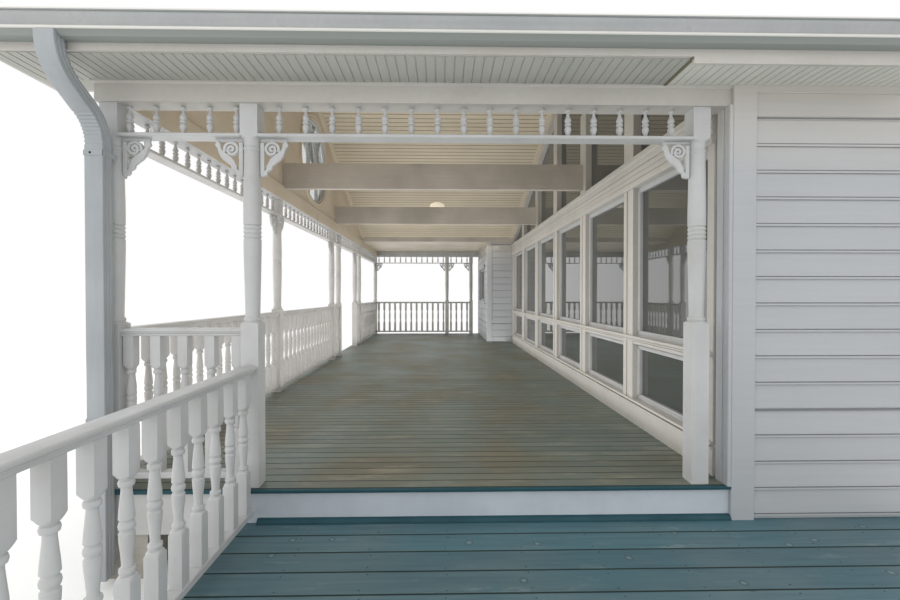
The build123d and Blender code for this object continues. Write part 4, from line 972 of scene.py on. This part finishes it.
class PORCH_OT_gutter(bpy.types.Operator):
    """Makes the gutter with its beads, ends and seam, and a ribbed downspout with crimped elbows"""

    bl_idname = "porch.gutter"
    bl_label = "Gutter and downspout"

    def execute(self, context):
        sheet = 0.0025
        back = GUTTER_HIGH.z - GUTTER_LOW.z
        bottom = GUTTER_FRONT[0][1] + sheet
        inside = [(max(out - sheet, sheet), max(up, bottom)) for out, up in reversed(GUTTER_FRONT[:-3])]
        trough = GUTTER_FRONT + inside + [(sheet, bottom), (sheet, back), (0.0, back)]
        end = GUTTER_FRONT[:-1] + [(0.0, back)]
        belly = GUTTER_FRONT[GUTTER_BELLY]
        seam = [(out + 0.001, up) for out, up in belly] + [(out - 0.002, up) for out, up in reversed(belly)]
        left, right = GUTTER_LOW.x, GUTTER_HIGH.x
        shape = Shape()
        for section, start, stop, marks in (
            (trough, left + sheet, right - sheet, GUTTER_SHADE_AND_HIGHLIGHT), (end, left, left + sheet, None),
            (end, right - sheet, right, None), (seam, right - 0.14, right - 0.11, None),
        ):
            shape.sweep(section, lambda x, out, up: (x, GUTTER_HIGH.y - out, GUTTER_LOW.z + up), start, stop, marks)
        stand_in("gutter", shape, "enamel gutter_under gutter_bead")

        low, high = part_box("downspout")
        middle = (low.x + high.x) / 2
        turns = [Vector(turn) for turn in (
            (OUTLET_Y, GUTTER_LOW.z + 0.029), (OUTLET_Y, GUTTER_LOW.z - 0.100), (PIPE_Y, DECK_TOP + 2.0877),
            (PIPE_Y, low.z),
        )]
        line = [turns[0]]
        for before, corner, after in zip(turns, turns[1:], turns[2:]):
            a, b = [corner + (other - corner).normalized() * BEND_REACH for other in (before, after)]
            for t in (j / (BEND_RINGS - 1) for j in range(BEND_RINGS)):
                line.append(a * (1 - t) ** 2 + corner * 2 * t * (1 - t) + b * t**2)
        line.append(turns[-1])
        rings = []
        for i, ((y, z), (ny, nz)) in enumerate(zip(line, normals(line))):
            # Every other ring of an elbow is pressed in on the inner side of its bend
            inner = 1 if i <= BEND_RINGS else -1
            ring = []
            for u, v in PIPE_SECTION + [(-u, -v) for u, v in PIPE_SECTION]:
                if 0 < i < len(line) - 1 and i % 2 and v * inner > 0:
                    u, v = u * 0.95, v * 0.88
                ring.append((middle + u, y + v * ny, z + v * nz))
            rings.append(ring)
        shape = Shape()
        shape.skin(rings)
        # Two straps, each with a screw
        front, strap, half = PIPE_Y - 0.0385, 0.0015, 0.015
        left, right = low.x - strap, high.x
        for z in (DECK_TOP + 1.927, DECK_TOP + 0.430):
            shape.board((left, front - 0.002, z - half), (right + strap, front, z + half), 0, 0.0008)
            for x in (left, right):
                shape.board((x, front - 0.002, z - half), (x + strap, high.y, z + half), 1, 0.0005)
            turns = [tau * i / 10 for i in range(10)]
            shape.skin([[(middle - 0.016 + radius * cos(turn), front - out, z + radius * sin(turn)) for turn in turns]
                        for out, radius in ((0.002, 0.006), (0.0045, 0.006), (0.0055, 0.003))], 1)
        stand_in("downspout", shape, "pipe screw")
        return {"FINISHED"}


class PORCH_OT_windows(bpy.types.Operator):
    """Cases the house windows: mullion bands, sills, kick board, glass beads and the ledge's lines"""

    bl_idname = "porch.windows"
    bl_label = "Window trim"

    def execute(self, context):
        s = sizes()
        face, thick, side = WALL_FACE, s.casing_thick, s.casing * 0.9
        sashes = sorted((box for box in solids("window_sashes") if box[0].x > face), key=lambda box: box[0].y)
        upper = [box for box in sashes if box[1].z > DECK_TOP + 1.0]
        lower = [box for box in sashes if box[1].z <= DECK_TOP + 1.0]
        ledge_low, ledge_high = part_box("window_ledge")
        start, end = ledge_low.y, ledge_high.y
        sill, head = lower[0][0].z, upper[0][1].z
        middle, rise = lower[0][1].z, upper[0][0].z - lower[0][1].z
        kick_top = DECK_TOP + 0.165
        shape = Shape()

        def flat(y0, y1, z0, z1, proud, along=2):
            shape.board((face - proud, y0, z0), (face, y1, z1), along)

        flat(start, end, DECK_TOP, kick_top, 0.020, 1)
        flat(start, end, kick_top, kick_top + 0.014, 0.028, 1)
        flat(start, end, sill - 0.020, sill, 0.034, 1)
        for a, b, proud in ((0.0, 0.36, 0.012), (0.42, 0.62, 0.022), (0.68, 1.0, 0.034)):
            flat(start + 0.003, end - 0.003, middle + rise * a, middle + rise * b, proud, 1)
        edges = [start] + [y for box in upper for y in (box[0].y, box[1].y)] + [end]
        for a, b in zip(edges[0::2], edges[1::2]):
            if b - a > 2.4 * s.casing:
                flat(a, a + side, sill, head, thick)
                flat(b - side, b, sill, head, thick)
                flat(a + side + 0.006, b - side - 0.006, sill, head, thick * 0.55)
            else:
                flat(a, b, sill, head, thick)
            if b < end:
                flat(a, b, ledge_high.z, min(vault_under(a), vault_under(b)) - 0.11, thick)
        for a, b in ((start, RIDGE_Y), (RIDGE_Y, end)):
            along_vault(shape, face - thick, face - 0.001, a, b, 0.118, -0.09)
        band = ledge_low.x + 0.030
        for a, b, out in ((0.0, 0.050, 0.012), (0.057, 0.098, 0.006), (0.105, 0.146, 0.009), (0.153, 0.196, 0.013)):
            shape.board((band - out, start, ledge_low.z + a), (band, end, ledge_low.z + b), 1, 0.003)
        z = ledge_high.z - 0.030 - 0.022
        shape.sweep(rows(2, 0, 0, 6, 0, 22, 16, 22, 22, 0, 22), lambda a, out, up: (band - out, a, z + up), start, end)
        piece("window_trim", shape, "trim")

        bead = 0.014
        shape = Shape()
        for low, high in solids("window_sashes"):
            for inset, proud in ((0.031, 0.004), (0.016, 0.008)):
                a, b, c, d = low.y + inset, high.y - inset, low.z + inset, high.z - inset
                for y0, y1, z0, z1, along in (
                    (a, a + bead, c, d, 2), (b - bead, b, c, d, 2), (a, b, c, c + bead, 1), (a, b, d - bead, d, 1),
                ):
                    shape.board((low.x - proud, y0, z0), (low.x, y1, z1), along, 0.0015)
        piece("sash_beads", shape, "paint")
        return {"FINISHED"}


# Sections of the oval window's casing and frame, out from the opening's edge and towards the porch
OVAL_CASING = rows(2, -4, 51, 65, 51, 65, 62, 60, 69, 50, 69, 44, 63, 12, 61, 6, 66, -4, 64)
OVAL_FRAME = rows(2, -45, -30, -38, -45, -30, -54, 0, -54, 0, 54, -30, 54, -38, 45, -45, 30)


class PORCH_OT_oval(bpy.types.Operator):
    """Makes the oval gable window: moulded casings, its frame and the pointed tracery"""

    bl_idname = "porch.oval"
    bl_label = "Oval window"

    def execute(self, context):
        shape = Shape()
        turns = [tau * i / 96 for i in range(96)]
        for section, finish in ((OVAL_CASING, 1), ([(out, -x) for out, x in OVAL_CASING], 0), (OVAL_FRAME, 0)):
            shape.skin([[(x, *oval_point(turn, out)) for out, x in section] for turn in turns], finish, loop=True)
        width, height = OVAL_HALF[0] - 0.045, OVAL_HALF[1] - 0.045
        radius = width * 4 / 3
        spring = -0.18 * height
        half = 0.015
        lines = []
        for start in (-width / 3, width / 3):
            lines.append([(start, -height * sqrt(1 - (start / width) ** 2) - 0.01, half), (start, spring, half)])
            for way in (-1, 1):
                arc = []
                for turn in (radians(1.5 * i) for i in range(61)):
                    y, z = start + way * radius * (1 - cos(turn)), spring + radius * sin(turn)
                    if (y / (width + 0.01)) ** 2 + (z / (height + 0.01)) ** 2 > 1:
                        break
                    arc.append((y, z, half))
                lines.append(arc)
        for line in lines:
            shape.band(line, 0.033, lambda y, out, z: (out, OVAL_CENTRE[0] + y, OVAL_CENTRE[1] + z), 0.006)
        stand_in("oval_window", shape, "paint gable")
        return {"FINISHED"}


class PORCH_OT_roof(bpy.types.Operator):
    """Lays courses of shingles on both slopes and the low roof, and caps the ridge"""

    bl_idname = "porch.roof"
    bl_label = "Shingles"

    def execute(self, context):
        s = sizes()
        chance = random.Random(7)
        roof_low, roof_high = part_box("near_roof")
        low_low, low_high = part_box("low_roof")
        left, right, top = roof_low.x - 0.015, roof_high.x, roof_high.z
        tabs = even(left, right, s.shingle_tab)
        shift = 0.5 * (tabs[1] - tabs[0])
        shape = Shape()
        for foot_y, foot_z, top_y, top_z in (
            (roof_low.y - 0.008, top - ROOF_RISE * (RIDGE_Y - roof_low.y), RIDGE_Y, top),
            (low_low.y, low_high.z, RIDGE_Y, top), (low_high.y + 0.008, LOW_EAVE_Z, low_low.y, low_high.z),
        ):
            run = Vector((top_y - foot_y, top_z - foot_z))
            length = run.length
            run.normalize()
            up = Vector((-run.y, run.x)) * (1 if run.x > 0 else -1)
            for row, (a, b) in enumerate(pairwise(even(0.0, length, s.shingle_course))):
                # Every other course starts with half a tab
                edges = [left, *([x + shift for x in tabs[:-1]] if row % 2 else tabs[1:-1]), right]
                for x0, x1 in pairwise(edges):
                    lift = 0.006 + 0.0015 * chance.random()
                    section = [Vector((foot_y, foot_z)) + run * min(along, length) + up * height
                               for along, height in ((a, 0.0), (a, lift), (b + 0.01, 0.003), (b + 0.01, 0.0))]
                    shape.skin([[(x, *point) for point in section] for x in (x0 + 0.002, x1 - 0.002)])
        half = 0.15
        fall = half * ROOF_RISE
        cap = [(-half, 0.008 - fall), (0.0, 0.010), (half, 0.008 - fall),
               (half, 0.003 - fall), (0.0, 0.002), (-half, 0.003 - fall)]
        for x0, x1 in pairwise(tabs):
            shape.sweep(cap, lambda x, y, z: (x, RIDGE_Y + y, top + z), x0 + 0.001, x1)
        piece("shingle_courses", shape, "shingle")
        return {"FINISHED"}


DRESSED = {
    "paint": "side_header far_header deck_skirt rake_boards window_sashes",
    "riser": "step_riser",
    "beam": "tie_beams",
    "cream": "near_ceiling far_ceiling flat_ceiling",
    "gable": "gable_wall",
    "trim": "window_wall window_ledge near_header fascia",
    "siding": "near_siding_wall wing_wall far_house_wall",
    "soffit": "soffit",
    "nosing": "riser_moulding",
    "timber": "upper_deck_frame lower_deck_frame",
    "concrete": "piers",
    "shingle": "near_roof far_roof low_roof",
    "plaster": "party_wall room_floor",
    "glass": "window_glass clerestory_glass",
    "clear_glass": "oval_glass",
    "lamp": "ceiling_light",
}


class PORCH_OT_dress(bpy.types.Operator):
    """Gives the pieces that stay as modelled their finishes"""

    bl_idname = "porch.dress"
    bl_label = "Finishes of plain pieces"

    def execute(self, context):
        for finish, nodes in DRESSED.items():
            for node in nodes.split():
                materials = NODES[node].data.materials
                if not materials:
                    materials.append(FINISHES[finish])
                for i in range(len(materials)):
                    materials[i] = FINISHES[finish]
        return {"FINISHED"}


CAMERA_PLACE = (1.9305, -2.7115, 1.6697)
CAMERA_YAW = 1.132
CAMERA_PITCH = -0.633
CAMERA_LENS = 18.0
# Name, place, aim, width, length and power: two softboxes, then three soft ones under the roof and the eave
LAMPS = (
    ("front_lamp", (-2.5, -7.0, 4.5), (1.8, 1.0, 1.6), 6.0, 6.0, 108.0),
    ("side_lamp", (-7.0, 4.0, 3.5), (1.8, 4.0, 1.5), 7.0, 7.0, 260.0),
    ("vault_fill", (1.8, 4.2, 0.57), (1.8, 4.2, 4.0), 3.4, 8.0, 105.0),
    ("porch_fill", (1.8, 4.6, 2.84), (1.8, 4.6, 0.5), 3.0, 8.0, 42.0),
    ("eave_fill", (2.9, -1.6, 0.38), (3.1, -0.6, 3.0), 4.4, 2.4, 22.0),
)
FLOOR_REACH = 150.0


class PORCH_OT_stage(bpy.types.Operator):
    """Sets the floor, the lamps, the white surroundings and the camera"""

    bl_idname = "porch.stage"
    bl_label = "Stage"

    def execute(self, context):
        scene = context.scene
        scene.view_settings.view_transform = "Standard"
        scene.world = bpy.data.worlds.new("Studio")
        tree = empty_tree(scene.world)
        rays = add(tree, "LightPath").outputs["Is Camera Ray"]
        soft, white_back = [add(tree, "Background", {"Color": (1, 1, 1, 1), "Strength": strength}).outputs[0]
                            for strength in (1.06, 1.0)]
        mixed = add(tree, "MixShader", {0: rays, 1: soft, 2: white_back}).outputs[0]
        add(tree, "OutputWorld", {"Surface": mixed})
        mesh = bpy.data.meshes.new("floor")
        corners = [(x * FLOOR_REACH, y * FLOOR_REACH, 0) for x, y in ((-1, -1), (1, -1), (1, 1), (-1, 1))]
        mesh.from_pydata(corners, [], [(0, 1, 2, 3)])
        # Stage floor: matt near-white, keeps the soft shadow under the porch
        mesh.materials.append(plain("Matt white studio floor", "#FBFBFA", Roughness=0.9))
        floor = bpy.data.objects.new("floor", mesh)
        scene.collection.objects.link(floor)
        for name, place, aim, width, length, power in LAMPS:
            lamp = bpy.data.lights.new(name, "AREA")
            lamp.shape = "RECTANGLE"
            lamp.size = width
            lamp.size_y = length
            lamp.energy = power
            held = bpy.data.objects.new(name, lamp)
            held.location = place
            held.rotation_euler = (Vector(aim) - Vector(place)).to_track_quat("-Z", "Y").to_euler()
            held.visible_camera = False
            held.visible_glossy = False
            scene.collection.objects.link(held)
        camera = bpy.data.cameras.new("camera")
        camera.lens = CAMERA_LENS
        camera.sensor_width = 36.0
        camera.clip_end = 200.0
        held = bpy.data.objects.new("camera", camera)
        held.location = CAMERA_PLACE
        held.rotation_euler = (radians(90.0 + CAMERA_PITCH), 0.0, radians(-CAMERA_YAW))
        scene.collection.objects.link(held)
        scene.camera = held
        return {"FINISHED"}


OPERATORS = (
    PORCH_OT_stage, PORCH_OT_posts, PORCH_OT_friezes, PORCH_OT_brackets, PORCH_OT_railings, PORCH_OT_decks,
    PORCH_OT_screws, PORCH_OT_siding, PORCH_OT_ceilings, PORCH_OT_eaves, PORCH_OT_gutter, PORCH_OT_windows,
    PORCH_OT_oval, PORCH_OT_roof, PORCH_OT_dress,
)


class PORCH_PT_panel(bpy.types.Panel):
    """Lists the pieces of the porch and their sizes and colours"""

    bl_idname = "PORCH_PT_panel"
    bl_label = "Front Porch"
    bl_space_type = "VIEW_3D"
    bl_region_type = "UI"
    bl_category = "Porch"

    def draw(self, context):
        layout = self.layout
        for operator in OPERATORS:
            layout.operator(operator.bl_idname)
        for group in (context.scene.porch_sizes, context.scene.porch_colours):
            box = layout.box()
            for name in group.bl_rna.properties.keys():
                if name not in ("rna_type", "name"):
                    box.prop(group, name)


CLASSES = (PorchSizes, PorchColours, *OPERATORS, PORCH_PT_panel)


def register():
    for made in CLASSES:
        bpy.utils.register_class(made)
    bpy.types.Scene.porch_sizes = PointerProperty(type=PorchSizes)
    bpy.types.Scene.porch_colours = PointerProperty(type=PorchColours)


def unregister():
    del bpy.types.Scene.porch_colours
    del bpy.types.Scene.porch_sizes
    for made in reversed(CLASSES):
        bpy.utils.unregister_class(made)


def run(operator):
    """Calls an operator and stops the script when it can't finish."""
    if operator() != {"FINISHED"}:
        raise RuntimeError("an operator of the porch did not finish")


def main():
    register()
    FINISHES.update(make_finishes())
    for operator in OPERATORS:
        group, name = operator.bl_idname.split(".")
        run(getattr(getattr(bpy.ops, group), name))


if __name__ == "__main__":
    main()
